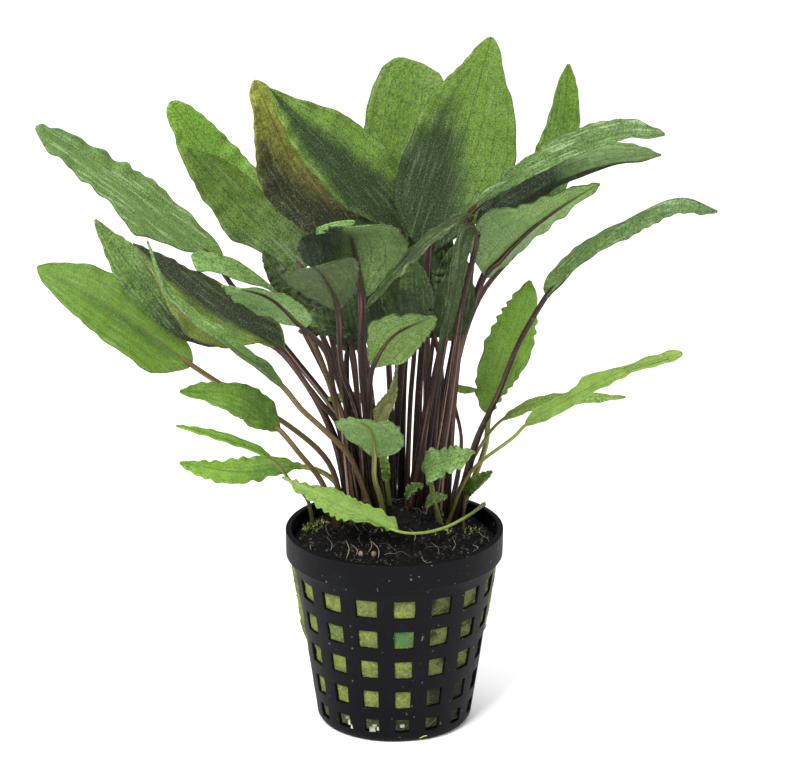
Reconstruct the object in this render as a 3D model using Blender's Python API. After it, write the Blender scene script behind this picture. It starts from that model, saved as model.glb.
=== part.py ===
"""Potted cryptocoryne: a rooted water plant in a small black net pot.

The frame: +X to the right, +Y to the back, +Z up, origin at the centre of the pot's underside.
Driving dimensions are in millimetres, and MM turns them into metres.
"""
import math

import bmesh
import bpy
from mathutils import Vector

MM = 0.001
GAP = 0.3
SHARP_ANGLE = 40.0

# Net pot
POT_HEIGHT = 51.0
POT_WALL = 1.2
BASE_RADIUS = 19.3
BODY_TOP_RADIUS = 25.8
BASE_THICKNESS = 1.5
BASE_CORNER = 1.6
INNER_CORNER = 0.4
RIM_RADIUS = 27.5
RIM_WALL = 1.5
RIM_BOTTOM = 44.1
RIM_STEP = 1.2
RIM_DRAFT = 0.2
POT_SHARP_ANGLE = 30.0
HOLE_COLUMNS = 16
FRONT_HOLE = -84.0
BAR_WIDTH = 4.3
LEAST_HOLE_SHARE = 0.4
HOLE_HEIGHT = 4.8
HOLE_ROW_PITCH = 8.6
TOP_HOLE_ROW = 38.1
FULL_HOLE_ROWS = 4
BOTTOM_HOLE = (3.0, 6.6)
SLOT_RING = (8.0, 14.0)

# Root medium
WOOL_TOP = 45.5
WOOL_FACET_GAP = 0.1
WOOL_FOOT = (3.5, 1.0)
WOOL_SHOULDER = 2.6
SOIL_FACET_GAP = 0.2
SOIL_EDGE = 47.5
MOUND_HEIGHT = 6.4
MOUND_CENTRE = (0.0, 8.0)
MOUND_SPREAD = 13.0
SOIL_RINGS = 6
SOIL_SIDES = 24

# Leaves
FLOOR = BASE_THICKNESS
CROWN_Y = 8.0
DEPTH_SPREAD = 1.6
SPREAD_FROM = 45.0
SPREAD_FULL = 130.0
EYE_DISTANCE = 1130.0
EYE_HEIGHT = 480.0
FOOT_GAP = 0.6
STALK_RADIUS = 0.85
STALK_STOPS = (0.0, 0.25, 0.5, 0.75, 1.0)
BLADE_STOPS = (0.02, 0.1, 0.22, 0.37, 0.53, 0.69, 0.84, 0.95, 1.0)
BLADE_THICKNESS = 0.5
MIDRIB_RISE = 0.1
MIDRIB_DROP = 0.25
KEEL_TAPER = 1.3
KEEL_SHARE = 0.6
STALK_SIDE = 0.7
STALK_UNDER = 0.75
LEAF_SHARP_ANGLE = 50.0
MARGINS = (0, 2)
LOBE_REACH = 0.3
TIP_HALF_WIDTH = 0.35
TIP_KEEL = 0.3

TONES = {
    "bright": (0.12, 0.33, 0.035),
    "fresh": (0.25, 0.48, 0.09),
    "mid": (0.07, 0.19, 0.045),
    "dark": (0.03, 0.075, 0.03),
    "olive": (0.12, 0.11, 0.03),
    "yellow": (0.33, 0.30, 0.04),
}


def clear_scene():
    for thing in list(bpy.data.objects):
        bpy.data.objects.remove(thing, do_unlink=True)


def material(name, colour, roughness):
    mat = bpy.data.materials.new(name)
    mat.use_nodes = True
    shader = mat.node_tree.nodes["Principled BSDF"]
    shader.inputs["Base Color"].default_value = (*colour, 1.0)
    shader.inputs["Roughness"].default_value = roughness
    return mat


def add_object(name, bm, mat, sharp_degrees=SHARP_ANGLE):
    bmesh.ops.recalc_face_normals(bm, faces=bm.faces[:])
    mesh = bpy.data.meshes.new(name)
    bm.to_mesh(mesh)
    bm.free()
    mesh.shade_smooth()
    mesh.set_sharp_from_angle(angle=math.radians(sharp_degrees))
    mesh.materials.append(mat)
    thing = bpy.data.objects.new(name, mesh)
    bpy.context.scene.collection.objects.link(thing)
    return thing


def ring_point(radius, angle, z):
    return (radius * math.cos(angle) * MM, radius * math.sin(angle) * MM, z * MM)


# The pot

def body_radius(z):
    """Outer radius of the pot's tapered wall at height z."""
    share = z / RIM_BOTTOM
    return BASE_RADIUS + (BODY_TOP_RADIUS - BASE_RADIUS) * share


def pot_sections():
    """Pairs of outer and inner (radius, z), from the middle of the base to the rim.

    The third value says that the band up to the next pair is pierced in every second column."""
    sections = []
    for radius, pierced in ((SLOT_RING[0], True), (SLOT_RING[1], False)):
        sections.append(((radius, 0.0), (radius, BASE_THICKNESS), pierced))
    inner_radius = BASE_RADIUS - POT_WALL
    sections.append(((BASE_RADIUS - BASE_CORNER, 0.0), (inner_radius - INNER_CORNER, BASE_THICKNESS), False))
    wall_foot = (inner_radius, BASE_THICKNESS + INNER_CORNER)
    sections.append(((body_radius(BASE_CORNER), BASE_CORNER), wall_foot, False))
    rows = [BOTTOM_HOLE]
    for row in reversed(range(FULL_HOLE_ROWS)):
        middle = TOP_HOLE_ROW - row * HOLE_ROW_PITCH
        rows.append((middle - HOLE_HEIGHT / 2, middle + HOLE_HEIGHT / 2))
    for low, high in rows:
        for z, pierced in ((low, True), (high, False)):
            radius = body_radius(z)
            sections.append(((radius, z), (radius - POT_WALL, z), pierced))
    sections.append(((BODY_TOP_RADIUS, RIM_BOTTOM), (BODY_TOP_RADIUS - POT_WALL, RIM_BOTTOM), False))
    flange = RIM_RADIUS - RIM_DRAFT
    sections.append(((flange, RIM_BOTTOM), (flange - RIM_WALL, RIM_BOTTOM + RIM_STEP), False))
    sections.append(((RIM_RADIUS, POT_HEIGHT), (RIM_RADIUS - RIM_WALL, POT_HEIGHT), False))
    return sections


def column_angles(radius):
    """Two angles a column at this radius: where its hole starts, and where the bar beside it starts."""
    pitch = 2 * math.pi / HOLE_COLUMNS
    half_hole = max(LEAST_HOLE_SHARE * pitch, pitch - BAR_WIDTH / radius) / 2
    angles = []
    for column in range(HOLE_COLUMNS):
        middle = column * pitch + math.radians(FRONT_HOLE)
        angles.append(middle - half_hole)
        angles.append(middle + half_hole)
    return angles


def make_pot(mat):
    bm = bmesh.new()
    count = 2 * HOLE_COLUMNS
    outer, inner, pierced = [], [], []
    for out_rz, in_rz, holes in pot_sections():
        angles = column_angles(out_rz[0])
        outer.append([bm.verts.new(ring_point(out_rz[0], a, out_rz[1])) for a in angles])
        inner.append([bm.verts.new(ring_point(in_rz[0], a, in_rz[1])) for a in angles])
        pierced.append(holes)
    for band in range(len(outer) - 1):
        for j in range(count):
            k = (j + 1) % count
            around = ((band, j), (band, k), (band + 1, k), (band + 1, j))
            if pierced[band] and j % 2 == 0:
                for (a, b), (c, d) in zip(around, around[1:] + around[:1]):
                    bm.faces.new((outer[a][b], outer[c][d], inner[c][d], inner[a][b]))
            else:
                bm.faces.new([outer[a][b] for a, b in around])
                bm.faces.new([inner[a][b] for a, b in reversed(around)])
    under = bm.verts.new((0.0, 0.0, 0.0))
    floor = bm.verts.new((0.0, 0.0, BASE_THICKNESS * MM))
    for j in range(count):
        k = (j + 1) % count
        bm.faces.new((under, outer[0][k], outer[0][j]))
        bm.faces.new((floor, inner[0][j], inner[0][k]))
        bm.faces.new((outer[-1][j], outer[-1][k], inner[-1][k], inner[-1][j]))
    return add_object("net_pot", bm, mat, POT_SHARP_ANGLE)


# The root medium

def soil_height(x, y):
    """Height of the soil's top at (x, y): a low mound under the plant's crown."""
    away = math.hypot(x - MOUND_CENTRE[0], y - MOUND_CENTRE[1])
    return SOIL_EDGE + MOUND_HEIGHT * math.exp(-(away / MOUND_SPREAD) ** 2)


def make_wool(mat):
    bm = bmesh.new()
    sides = 2 * HOLE_COLUMNS
    foot_height, foot_inset = WOOL_FOOT
    levels = ((BASE_THICKNESS + GAP, foot_inset), (foot_height, GAP), (WOOL_TOP - WOOL_SHOULDER, GAP),
              (WOOL_TOP, GAP))
    rings = []
    for z, inset in levels:
        radius = body_radius(min(z, RIM_BOTTOM)) - POT_WALL - inset - WOOL_FACET_GAP
        rings.append([bm.verts.new(ring_point(radius, 2 * math.pi * j / sides, z)) for j in range(sides)])
    for low, high in zip(rings, rings[1:]):
        for j in range(sides):
            k = (j + 1) % sides
            bm.faces.new((low[j], low[k], high[k], high[j]))
    bm.faces.new(reversed(rings[0]))
    bm.faces.new(rings[-1])
    return add_object("rock_wool", bm, mat)


def make_soil(mat):
    bm = bmesh.new()
    radius = BODY_TOP_RADIUS - POT_WALL - GAP - SOIL_FACET_GAP
    rings = []
    for step in range(1, SOIL_RINGS + 1):
        reach = radius * step / SOIL_RINGS
        ring = []
        for j in range(SOIL_SIDES):
            angle = 2 * math.pi * j / SOIL_SIDES
            x, y = reach * math.cos(angle), reach * math.sin(angle)
            ring.append(bm.verts.new((x * MM, y * MM, soil_height(x, y) * MM)))
        rings.append(ring)
    crest = bm.verts.new((0.0, 0.0, soil_height(0.0, 0.0) * MM))
    base = [bm.verts.new(ring_point(radius, 2 * math.pi * j / SOIL_SIDES, WOOL_TOP + GAP))
            for j in range(SOIL_SIDES)]
    for j in range(SOIL_SIDES):
        k = (j + 1) % SOIL_SIDES
        bm.faces.new((crest, rings[0][j], rings[0][k]))
        for small, large in zip(rings, rings[1:]):
            bm.faces.new((small[j], large[j], large[k], small[k]))
        bm.faces.new((rings[-1][j], base[j], base[k], rings[-1][k]))
    bm.faces.new(reversed(base))
    return add_object("soil", bm, mat)


# Leaves

def smooth_path(points, steps=10):
    """A smooth curve through the points, as a dense polyline, and each point's place on it."""
    pts = [Vector(p) for p in points]
    before = pts[0] * 2 - pts[1]
    after = pts[-1] * 2 - pts[-2]
    ring = [before] + pts + [after]
    dense, marks = [], []
    for i in range(1, len(ring) - 2):
        p0, p1, p2, p3 = ring[i - 1:i + 3]
        reach = (p2 - p1).length
        pull_1 = (p2 - p0).normalized() * reach
        pull_2 = (p3 - p1).normalized() * reach
        marks.append(len(dense))
        for step in range(steps):
            s = step / steps
            dense.append(p1 * (2 * s ** 3 - 3 * s ** 2 + 1) + pull_1 * (s ** 3 - 2 * s ** 2 + s)
                         + p2 * (3 * s ** 2 - 2 * s ** 3) + pull_2 * (s ** 3 - s ** 2))
    marks.append(len(dense))
    dense.append(pts[-1])
    return dense, marks


def spread(point):
    """A leaf point moved to its real depth, along the line of sight of an eye in front of the plant.

    The points are listed on a shallow plan. The plant grows deeper with height, in the end DEPTH_SPREAD
    times as deep as listed."""
    x, y, z = point
    climb = min(1.0, max(0.0, (z - SPREAD_FROM) / (SPREAD_FULL - SPREAD_FROM)))
    grown = climb * climb * (3 - 2 * climb)
    extra = (y - CROWN_Y) * (DEPTH_SPREAD - 1) * grown
    slope = (EYE_HEIGHT - z) / EYE_DISTANCE
    return (x * (1 + extra / EYE_DISTANCE), y + extra, z - extra * slope + FLOOR)


def point_along(dense, share):
    """The point and direction at a share, 0 to 1, of a polyline's length."""
    lengths = [0.0]
    for a, b in zip(dense, dense[1:]):
        lengths.append(lengths[-1] + (b - a).length)
    want = share * lengths[-1]
    i = 0
    while i < len(dense) - 2 and lengths[i + 1] < want:
        i += 1
    span = lengths[i + 1] - lengths[i]
    place = dense[i].lerp(dense[i + 1], (want - lengths[i]) / span)
    ahead = dense[min(i + 2, len(dense) - 1)]
    behind = dense[max(i - 1, 0)]
    return place, (ahead - behind).normalized()


def carried(normal, old_dir, new_dir):
    """A normal carried from one direction of the midrib to the next without twisting."""
    turn = old_dir.rotation_difference(new_dir)
    moved = turn @ normal
    return (moved - new_dir * moved.dot(new_dir)).normalized()


def half_width(t, leaf):
    """Half of the blade's width at t, 0 at the collar and 1 at the tip."""
    a, b = leaf["base"], leaf["tip"]
    widest = a / (a + b)
    top = widest ** a * (1 - widest) ** b
    return leaf["width"] / 2 * (t ** a * (1 - t) ** b) / top


def leaf_stations(leaf):
    """Place, direction, normal and t of each station; t is None on the stalk."""
    foot_x, foot_y = leaf["stalk"][0]
    foot = (foot_x, foot_y, soil_height(foot_x, foot_y) + FOOT_GAP)
    points = [foot] + [spread(p) for p in leaf["stalk"][1:] + leaf["blade"]]
    dense, marks = smooth_path(points)
    collar = marks[len(leaf["stalk"])]
    stations = []
    for share in STALK_STOPS:
        stations.append((*point_along(dense[:collar + 1], share), None))
    for t in BLADE_STOPS:
        stations.append((*point_along(dense[collar:], t), t))
    middle = len(STALK_STOPS) + len(BLADE_STOPS) // 2
    normals = [None] * len(stations)
    face = Vector(leaf["face"])
    direction = stations[middle][1]
    normals[middle] = (face - direction * face.dot(direction)).normalized()
    for i in range(middle + 1, len(stations)):
        normals[i] = carried(normals[i - 1], stations[i - 1][1], stations[i][1])
    for i in range(middle - 1, -1, -1):
        normals[i] = carried(normals[i + 1], stations[i + 1][1], stations[i][1])
    return [(place, direction, normal, t) for (place, direction, t), normal in zip(stations, normals)]


def ring_section(leaf, t):
    """Six (side, up) points round a station: margin, top, margin, then three along the keel."""
    r = leaf["stalk_radius"]
    if t is None:
        low = (STALK_SIDE * r, -STALK_UNDER * r)
        return [(-r, 0), (0, r), (r, 0), low, (0, -r), (-low[0], low[1])]
    wide = max(half_width(t, leaf), TIP_HALF_WIDTH)
    lift = math.radians(leaf["fold"])
    side, up = wide * math.cos(lift), wide * math.sin(lift)
    keel = r + (TIP_KEEL - r) * min(1.0, t * KEEL_TAPER)
    shoulder = min(keel, side * KEEL_SHARE)
    under = up * shoulder / side - BLADE_THICKNESS
    return [(-side, up), (0, MIDRIB_RISE), (side, up), (shoulder, under), (0, -keel - MIDRIB_DROP),
            (-shoulder, under)]


def make_leaf(leaf, mat):
    bm = bmesh.new()
    rings = []
    for index, (place, direction, normal, t) in enumerate(leaf_stations(leaf)):
        if index == 0:
            direction = Vector((0, 0, 1))
            normal = (normal - direction * normal.dot(direction)).normalized()
        side = direction.cross(normal)
        back = 0.0 if t is None else leaf["lobe"] * max(0.0, 1 - t / LOBE_REACH)
        ring = []
        for point, (across, up) in enumerate(ring_section(leaf, t)):
            swept = back if point in MARGINS else 0.0
            ring.append(bm.verts.new((place + side * across + normal * up - direction * swept) * MM))
        rings.append(ring)
    for low, high in zip(rings, rings[1:]):
        for j in range(len(low)):
            k = (j + 1) % len(low)
            bm.faces.new((low[j], low[k], high[k], high[j]))
    bm.faces.new(reversed(rings[0]))
    bm.faces.new(rings[-1])
    return add_object(leaf["name"], bm, mat, LEAF_SHARP_ANGLE)


def leaf(name, stalk, blade, width, face, tone="mid", fold=12, base=0.5, tip=0.75,
         lobe=1.0, stalk_radius=STALK_RADIUS):
    """One leaf. stalk: (x, y) of the foot, then points up the stalk. blade: collar, points, tip.

    z is measured from the pot's floor. face is where the upper side looks at mid blade; fold lifts both
    halves from flat, in degrees; base and tip say how blunt (small) or drawn out (large) each end of the
    blade is; lobe is how far its lower corners reach back past the collar."""
    return {"name": name, "stalk": stalk, "blade": blade, "width": width, "face": face, "tone": tone,
            "fold": fold, "base": base, "tip": tip, "lobe": lobe, "stalk_radius": stalk_radius}


def leaf_list():
    """Every leaf of the plant, from left to right, in millimetres."""
    left = [
        leaf("leaf_left_low_broad", [(-13, 9), (-16, 7, 63), (-25, 4, 74), (-45, 2, 88)],
             [(-52, 2, 93), (-70, 4, 106), (-89, 8, 116)],
             17, (0.25, -0.8, 0.5), "bright", fold=10, base=0.5, lobe=3),
        leaf("leaf_left_dark", [(-11, 13), (-15, 10, 69), (-24, 7, 88), (-33, 3, 98)],
             [(-49, 1, 98.5), (-63, 2, 114.5), (-74, 4, 129.5)],
             11, (0.3, -0.8, 0.5), "dark", fold=15, base=0.6),
        leaf("leaf_left_olive", [(-9.5, 9), (-14, 4, 75.5), (-18, 2, 81.5), (-23, 0, 89)],
             [(-28, -2, 97), (-46, -6, 110), (-64, -8, 127)],
             17.5, (0.3, -0.75, 0.6), "olive", fold=15, base=0.38),
        leaf("leaf_left_folded", [(-5, 4), (-11, 0, 68), (-17, -3, 76), (-23, -6, 83)],
             [(-28, -9, 90.5), (-39, -14, 101.5), (-55, -17, 116), (-60, -17, 130.5)],
             7.5, (0.6, -0.3, 0.6), "fresh", fold=35),
        leaf("leaf_left_short_bright", [(-14, 5), (-18, 0, 61), (-24, -4, 71)],
             [(-29, -6, 78), (-39, -10, 88), (-53, -12, 90)],
             10.5, (0.2, -0.75, 0.6), "bright", fold=8, base=0.5, lobe=1.5),
        leaf("leaf_left_curled", [(-20.6, 10.6), (-22, 7, 54), (-26, -1, 62)],
             [(-31, -8, 71), (-41, -10, 76), (-54, -12, 81)],
             4.5, (0.2, -0.3, 0.9), "bright", fold=30, stalk_radius=0.6),
        leaf("leaf_left_lowest", [(-13, 14), (-15, 12, 57)],
             [(-23, 10, 62), (-39, 6, 62), (-54, 2, 66)],
             8, (0.1, -0.7, 0.7), "bright", fold=8, stalk_radius=0.7),
        leaf("leaf_left_upper_long", [(-6, 17), (-11, 17, 67), (-27, 16, 91), (-41, 15, 109)],
             [(-46, 14, 117), (-55, 12, 125), (-67, 9, 136), (-88, 3, 153.5)],
             16, (0.3, -0.6, 0.75), "mid", fold=15, base=0.5, lobe=5),
        leaf("leaf_left_arched", [(-8, 12), (-13, 10, 72), (-20, 6, 96)],
             [(-28, 2, 110), (-38, 0, 117), (-50, -2, 122)],
             8, (0.2, 0.2, 0.9), "bright", fold=20, tip=0.45),
        leaf("leaf_front_fallen", [(20.5, 12.5), (18.5, 4, 51.7), (13, -5, 51.5), (6, -11, 52)],
             [(0, -14, 54), (-12, -12, 60), (-28, -8, 66)],
             8, (0.1, -0.85, 0.5), "fresh", fold=6, stalk_radius=0.6),
    ]
    front = [
        leaf("leaf_mid_left_nodding", [(-10, 5.5), (-13, 0, 79), (-15, -4, 87), (-17, -7, 98.5)],
             [(-23, -9, 106), (-31, -12, 114.5), (-42, -18, 119.5)],
             16, (-0.3, 0.3, 0.9), "fresh", fold=10),
        leaf("leaf_front_left_nodding", [(-7.2, 6), (-9, 1, 78), (-13, -4, 93)],
             [(-14, -12.5, 112), (-17.5, -22.5, 123.5), (-19.5, -30, 128)],
             18, (-0.2, 0.6, 0.8), "mid", fold=10, base=0.9),
        leaf("leaf_front_centre_large", [(-4.5, 11), (-7.5, -2, 86.5), (-8, -5, 96)],
             [(-8, -12, 115.5), (-10, -18, 130.5), (-12, -28, 137.5)],
             27, (0.1, 0.6, 0.8), "mid", fold=10, base=0.4, tip=0.4, stalk_radius=1.1),
        leaf("leaf_front_centre_small", [(-4, 7.5), (-6, -6, 80.5), (-6, -10, 91)],
             [(-5, -12, 97), (0, -16, 106), (10, -22, 113)],
             15, (0.2, 0.7, 0.6), "bright", fold=10),
        leaf("leaf_front_low", [(-2.5, 4), (-3.5, 0.5, 57), (-5, -3, 64)],
             [(-5, -5, 71), (-6, -12, 80), (-11, -20, 86)],
             16, (0.1, 0.7, 0.8), "fresh", fold=8),
    ]
    middle = [
        leaf("leaf_centre_brownish", [(-1, 12), (-3, 7.5, 66)],
             [(-4.2, 1, 76.8), (-2.8, 1, 80.3), (-0.4, 2, 84.8), (0.6, 3, 91.8)],
             5, (-0.2, -1, 0.1), "olive", fold=30, stalk_radius=0.6),
        leaf("leaf_young_rolled", [(-1, 8)],
             [(-2, 6, 60), (-3, 4, 67), (-3, 3, 70)],
             3, (0, -1, 0), "fresh", fold=30, stalk_radius=0.6),
        leaf("leaf_right_curly", [(12, 5), (10, 2, 56)],
             [(9, 0, 62), (8, -3, 66), (13.5, -6, 69.5), (20, -8, 72.5)],
             8, (0.2, -0.8, 0.6), "fresh", fold=8, stalk_radius=0.7),
        leaf("leaf_right_small_dark", [(17.5, 6)],
             [(18, 5, 56), (20, 3, 60), (24.5, 1, 64)],
             4, (0.2, -0.8, 0.5), "dark", fold=8, stalk_radius=0.5),
        leaf("leaf_inner_dark", [(6, 9), (8, 4, 82)],
             [(8, 0, 105), (6, -1, 107), (5, -4, 115), (5, -6, 122)],
             9, (0, -0.9, 0.2), "dark", fold=8),
        leaf("leaf_inner_left", [(-6, 13), (-11, 9, 72), (-12, 6, 92)],
             [(-11, 4, 101), (-16, 0, 104), (-22, -4, 106)],
             9, (0, -0.7, 0.7), "dark", fold=8),
        leaf("leaf_inner_thin", [(-2.5, 13), (-3, 14, 65)],
             [(-6, 15, 78), (-11, 16, 78), (-17, 16, 78.5)],
             5, (0, -0.3, 0.9), "mid", fold=10, stalk_radius=0.6),
    ]
    right = [
        leaf("leaf_right_low_bright", [(13, 6), (19, 0, 64), (30, -6, 76)],
             [(33, -8, 80), (43, -10, 87), (56, -12, 95), (71, -12, 100)],
             5.5, (-0.2, -0.7, 0.7), "bright", fold=10, stalk_radius=0.55),
        leaf("leaf_right_low_behind", [(14, 12), (17, 11, 57), (23, 9, 70)],
             [(28, 8, 76), (38, 6, 81), (58, 4, 83)],
             5.5, (-0.1, -0.5, 0.8), "mid", fold=10, stalk_radius=0.55),
        leaf("leaf_right_arching", [(15, 9), (20, 6, 69), (26, 3, 84), (31, 1, 98), (37, -1, 110)],
             [(39, -2, 113), (51, -4, 127), (61, -6, 134.5), (70, -8, 138.5), (79, -10, 136)],
             10, (-0.45, -0.2, 0.85), "mid", fold=-40, lobe=4),
        leaf("leaf_right_upright", [(16, 13), (19, 12, 55), (23, 11, 67)],
             [(24, 10, 77), (28, 10, 91), (32, 11, 104), (34, 12, 111)],
             12.5, (-0.2, -0.9, 0.2), "fresh", fold=8),
        leaf("leaf_right_upper_long", [(8, 14), (11, 12, 85), (16, 9, 115)],
             [(19, 5, 131), (29, 4, 139.5), (41, 1, 147), (55, -2, 153), (66, -5, 154)],
             9, (-0.4, -0.6, 0.7), "mid", fold=20, base=0.9, stalk_radius=1.0),
        leaf("leaf_front_narrow", [(4, 9), (9, 1.5, 83), (14.5, 0.5, 114)],
             [(18.7, -0.2, 131), (11, -11, 131), (1, -22.5, 125), (-7, -29, 117.5)],
             5.5, (-0.4, -0.6, 0.7), "mid", fold=8),
        leaf("leaf_front_drooping", [(9, 7), (13, 2, 77), (17, -1, 110)],
             [(20.5, -5, 128), (17.5, -11, 130.5), (15.5, -14.5, 122), (13.5, -16, 111), (11, -17, 102.5)],
             5, (0.3, -0.9, 0), "dark", fold=15),
        leaf("leaf_right_upper_folded", [(10, 17), (14, 17, 83), (19, 16, 110)],
             [(21, 15, 121), (31, 13, 131), (49, 10, 142), (66, 8, 145)],
             15, (-0.4, -0.5, 0.8), "mid", fold=30),
        leaf("leaf_right_upper_underside", [(13, 15), (16, 8, 93), (19, 6, 104), (22, 5, 114)],
             [(24, 4, 117), (33, 8, 125), (42, 11, 131), (51, 13, 136)],
             18, (-0.4, 0.7, 0.6), "mid", fold=10, base=0.42, lobe=3, stalk_radius=1.0),
    ]
    back = [
        leaf("leaf_back_right", [(12, 19), (14.5, 24, 76), (21.5, 31, 100)],
             [(37, 38, 119), (42.5, 42, 141), (44, 42, 159)],
             11, (-0.2, -0.9, 0.1), "bright", fold=10),
        leaf("leaf_tall_centre", [(5, 15), (6, 17, 77), (8, 18, 104)],
             [(9, 18, 119), (17, 20, 145), (24, 19, 172)],
             26, (-0.1, -0.95, 0.1), "mid", fold=10, base=0.45, tip=0.45, stalk_radius=1.0),
        leaf("leaf_tall_behind", [(2, 18), (1, 22, 76), (1, 26, 101)],
             [(1, 28, 118), (2.5, 32, 139), (4.5, 34, 155), (7, 35, 161)],
             22, (0, -0.95, 0.2), "mid", fold=10, tip=0.35, stalk_radius=1.0),
        leaf("leaf_tall_left", [(-1, 15), (1, 18, 77), (3, 20, 103)],
             [(2, 20, 120), (-12, 17, 139.5), (-31, 12, 161)],
             20, (0.4, -0.8, 0.4), "mid", fold=10, stalk_radius=1.0),
        leaf("leaf_tall_yellow", [(-4, 17), (-6, 22, 76), (-10, 26, 101)],
             [(-13, 28, 119), (-25, 28, 136), (-35, 26, 159)],
             20, (0.3, -0.9, 0.3), "yellow", fold=8, base=0.4, stalk_radius=1.0),
        leaf("leaf_back_left_bright", [(-5, 21), (-9, 28, 68), (-19, 36, 90)],
             [(-27, 42, 111), (-43, 46, 128), (-57, 46, 148)],
             15, (0.3, -0.9, 0.3), "bright", fold=10),
        leaf("leaf_back_left_low", [(-6, 20), (-11, 26, 69), (-19, 32, 91)],
             [(-24, 36, 107), (-39, 38, 122), (-53, 36, 139)],
             17, (0.3, -0.9, 0.3), "mid", fold=10),
        leaf("leaf_back_inner_small", [(4, 20), (8, 24, 75)],
             [(11, 26, 101), (12, 26, 108), (12, 24, 115)],
             5, (0, -1, 0.1), "bright", fold=8, stalk_radius=0.6),
        leaf("leaf_back_inner_strip", [(14, 19), (17, 18, 66)],
             [(15, 18, 80), (18, 18, 80), (21, 18, 80)],
             3, (0, -0.3, 0.9), "mid", fold=8, stalk_radius=0.5),
    ]
    return left + front + middle + right + back


def main():
    clear_scene()
    make_pot(material("black_plastic", (0.012, 0.013, 0.015), 0.45))
    make_wool(material("mineral_wool", (0.30, 0.38, 0.07), 0.95))
    make_soil(material("peat", (0.012, 0.010, 0.008), 0.95))
    for spec in leaf_list():
        make_leaf(spec, material(spec["name"] + "_green", TONES[spec["tone"]], 0.5))


main()
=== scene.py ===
"""Potted cryptocoryne, the looks: a rooted water plant in a black net pot of mineral wool.

The frame: +X to the right, +Y to the back, +Z up, origin at the centre of the pot's underside.
Lengths are in millimetres, and MM turns them into metres. The camera, the lamps, the bumps and the scales of
patterns that read a point's place are in metres, as Blender takes them. Colours are 8-bit screen values.
"""
import math
import random

import bmesh
import bpy
import numpy as np
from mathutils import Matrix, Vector, noise

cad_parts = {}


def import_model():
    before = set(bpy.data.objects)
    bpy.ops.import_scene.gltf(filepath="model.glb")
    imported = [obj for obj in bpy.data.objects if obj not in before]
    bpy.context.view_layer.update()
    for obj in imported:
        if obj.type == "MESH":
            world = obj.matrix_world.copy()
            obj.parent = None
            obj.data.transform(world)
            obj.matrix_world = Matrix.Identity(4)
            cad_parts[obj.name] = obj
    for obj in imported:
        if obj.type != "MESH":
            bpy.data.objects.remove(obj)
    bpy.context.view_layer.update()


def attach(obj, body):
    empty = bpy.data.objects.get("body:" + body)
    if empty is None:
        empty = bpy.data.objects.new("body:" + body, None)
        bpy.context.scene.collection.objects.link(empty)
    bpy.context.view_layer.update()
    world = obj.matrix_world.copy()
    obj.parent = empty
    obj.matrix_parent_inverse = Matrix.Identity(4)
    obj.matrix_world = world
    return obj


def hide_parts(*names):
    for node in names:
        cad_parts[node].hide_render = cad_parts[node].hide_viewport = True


MM = 0.001
TURN = 2 * math.pi
BODY = "root"
SEED_STEP = 1.37
SEEDS = {"sheaths": 47, "fibres": 11, "pale bits": 31, "grains": 5, "roots": 23, "moss": 31}

# Camera: the photograph's viewing angle and framing
CAMERA_AT = (0.0014, -1.1326, 0.4817)
CAMERA_DOWN = 19.18
CAMERA_LENS = 216.0
SENSOR_WIDTH = 36.0

# Net pot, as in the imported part
POT_HEIGHT = 51.0
POT_WALL = 1.2
BASE_RADIUS = 19.3
BODY_TOP_RADIUS = 25.8
BASE_THICKNESS = 1.5
BASE_CORNER = 1.6
RIM_RADIUS = 27.5
RIM_WALL = 1.5
RIM_BOTTOM = 44.1
HOLE_COLUMNS = 16
FRONT_HOLE = -84.0
BAR_WIDTH = 4.3
LEAST_HOLE_SHARE = 0.4
HOLE_HEIGHT = 4.8
HOLE_ROW_PITCH = 8.6
TOP_HOLE_ROW = 38.1
FULL_HOLE_ROWS = 4
BOTTOM_HOLE = (3.0, 6.6)
SLOT_RING = (8.0, 14.0)
WOOL_TOP = 45.5
SOIL_EDGE = 47.5
MOUND_HEIGHT = 6.4
MOUND_CENTRE = (0.0, 8.0)
MOUND_SPREAD = 13.0

# Leaves: how far their points are set in depth, and how stalks and blades are made
FLOOR = BASE_THICKNESS
CROWN_Y = 8.0
DEPTH_SPREAD = 1.6
SPREAD_FROM = 45.0
SPREAD_FULL = 130.0
EYE_DISTANCE = 1130.0
EYE_HEIGHT = 480.0
STALK_RADIUS = 0.72
FOOT_FLARE = 0.45
FLARE_REACH = 0.12
FOOT_DEPTH = 1.5
GROOVE = 0.07
RIB_TIP_RADIUS = 0.16
RIB_SINK = 0.72
LOBE_REACH = 0.3
LEAST_HALF_WIDTH = 0.2
BLADE_THICKNESS = 0.3
MARGIN_CROWDING = 0.94
CALM_COLLAR = 0.08
CALM_TIP = 0.05
QUILT_HEIGHT = 0.12
MARGIN_CUP = -0.4
# The two margins: which side, then phase and seed of the teeth, then phase and seed of the waves
MARGINS = ((-1, 0.4, 3.0, 0.0, 0.0), (1, 1.9, 5.0, 2.1, 9.0))
WAVE_BEND = 0.16
WAVE_MEAN = 0.75
WAVE_UNEVEN = 0.9
PATH_STEPS = 16
STALK_STATIONS = 26
BLADE_STATIONS = 84
ACROSS = 13
STALK_SIDES = 12


def screen(red, green, blue):
    """An 8-bit screen colour as the linear colour that shaders take."""
    linear = []
    for value in (red, green, blue):
        v = value / 255
        linear.append(v / 12.92 if v <= 0.04045 else ((v + 0.055) / 1.055) ** 2.4)
    return (*linear, 1.0)


def toned(colour, share):
    """A linear colour made darker or lighter by share."""
    return (colour[0] * share, colour[1] * share, colour[2] * share, 1.0)


# Node building

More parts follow.
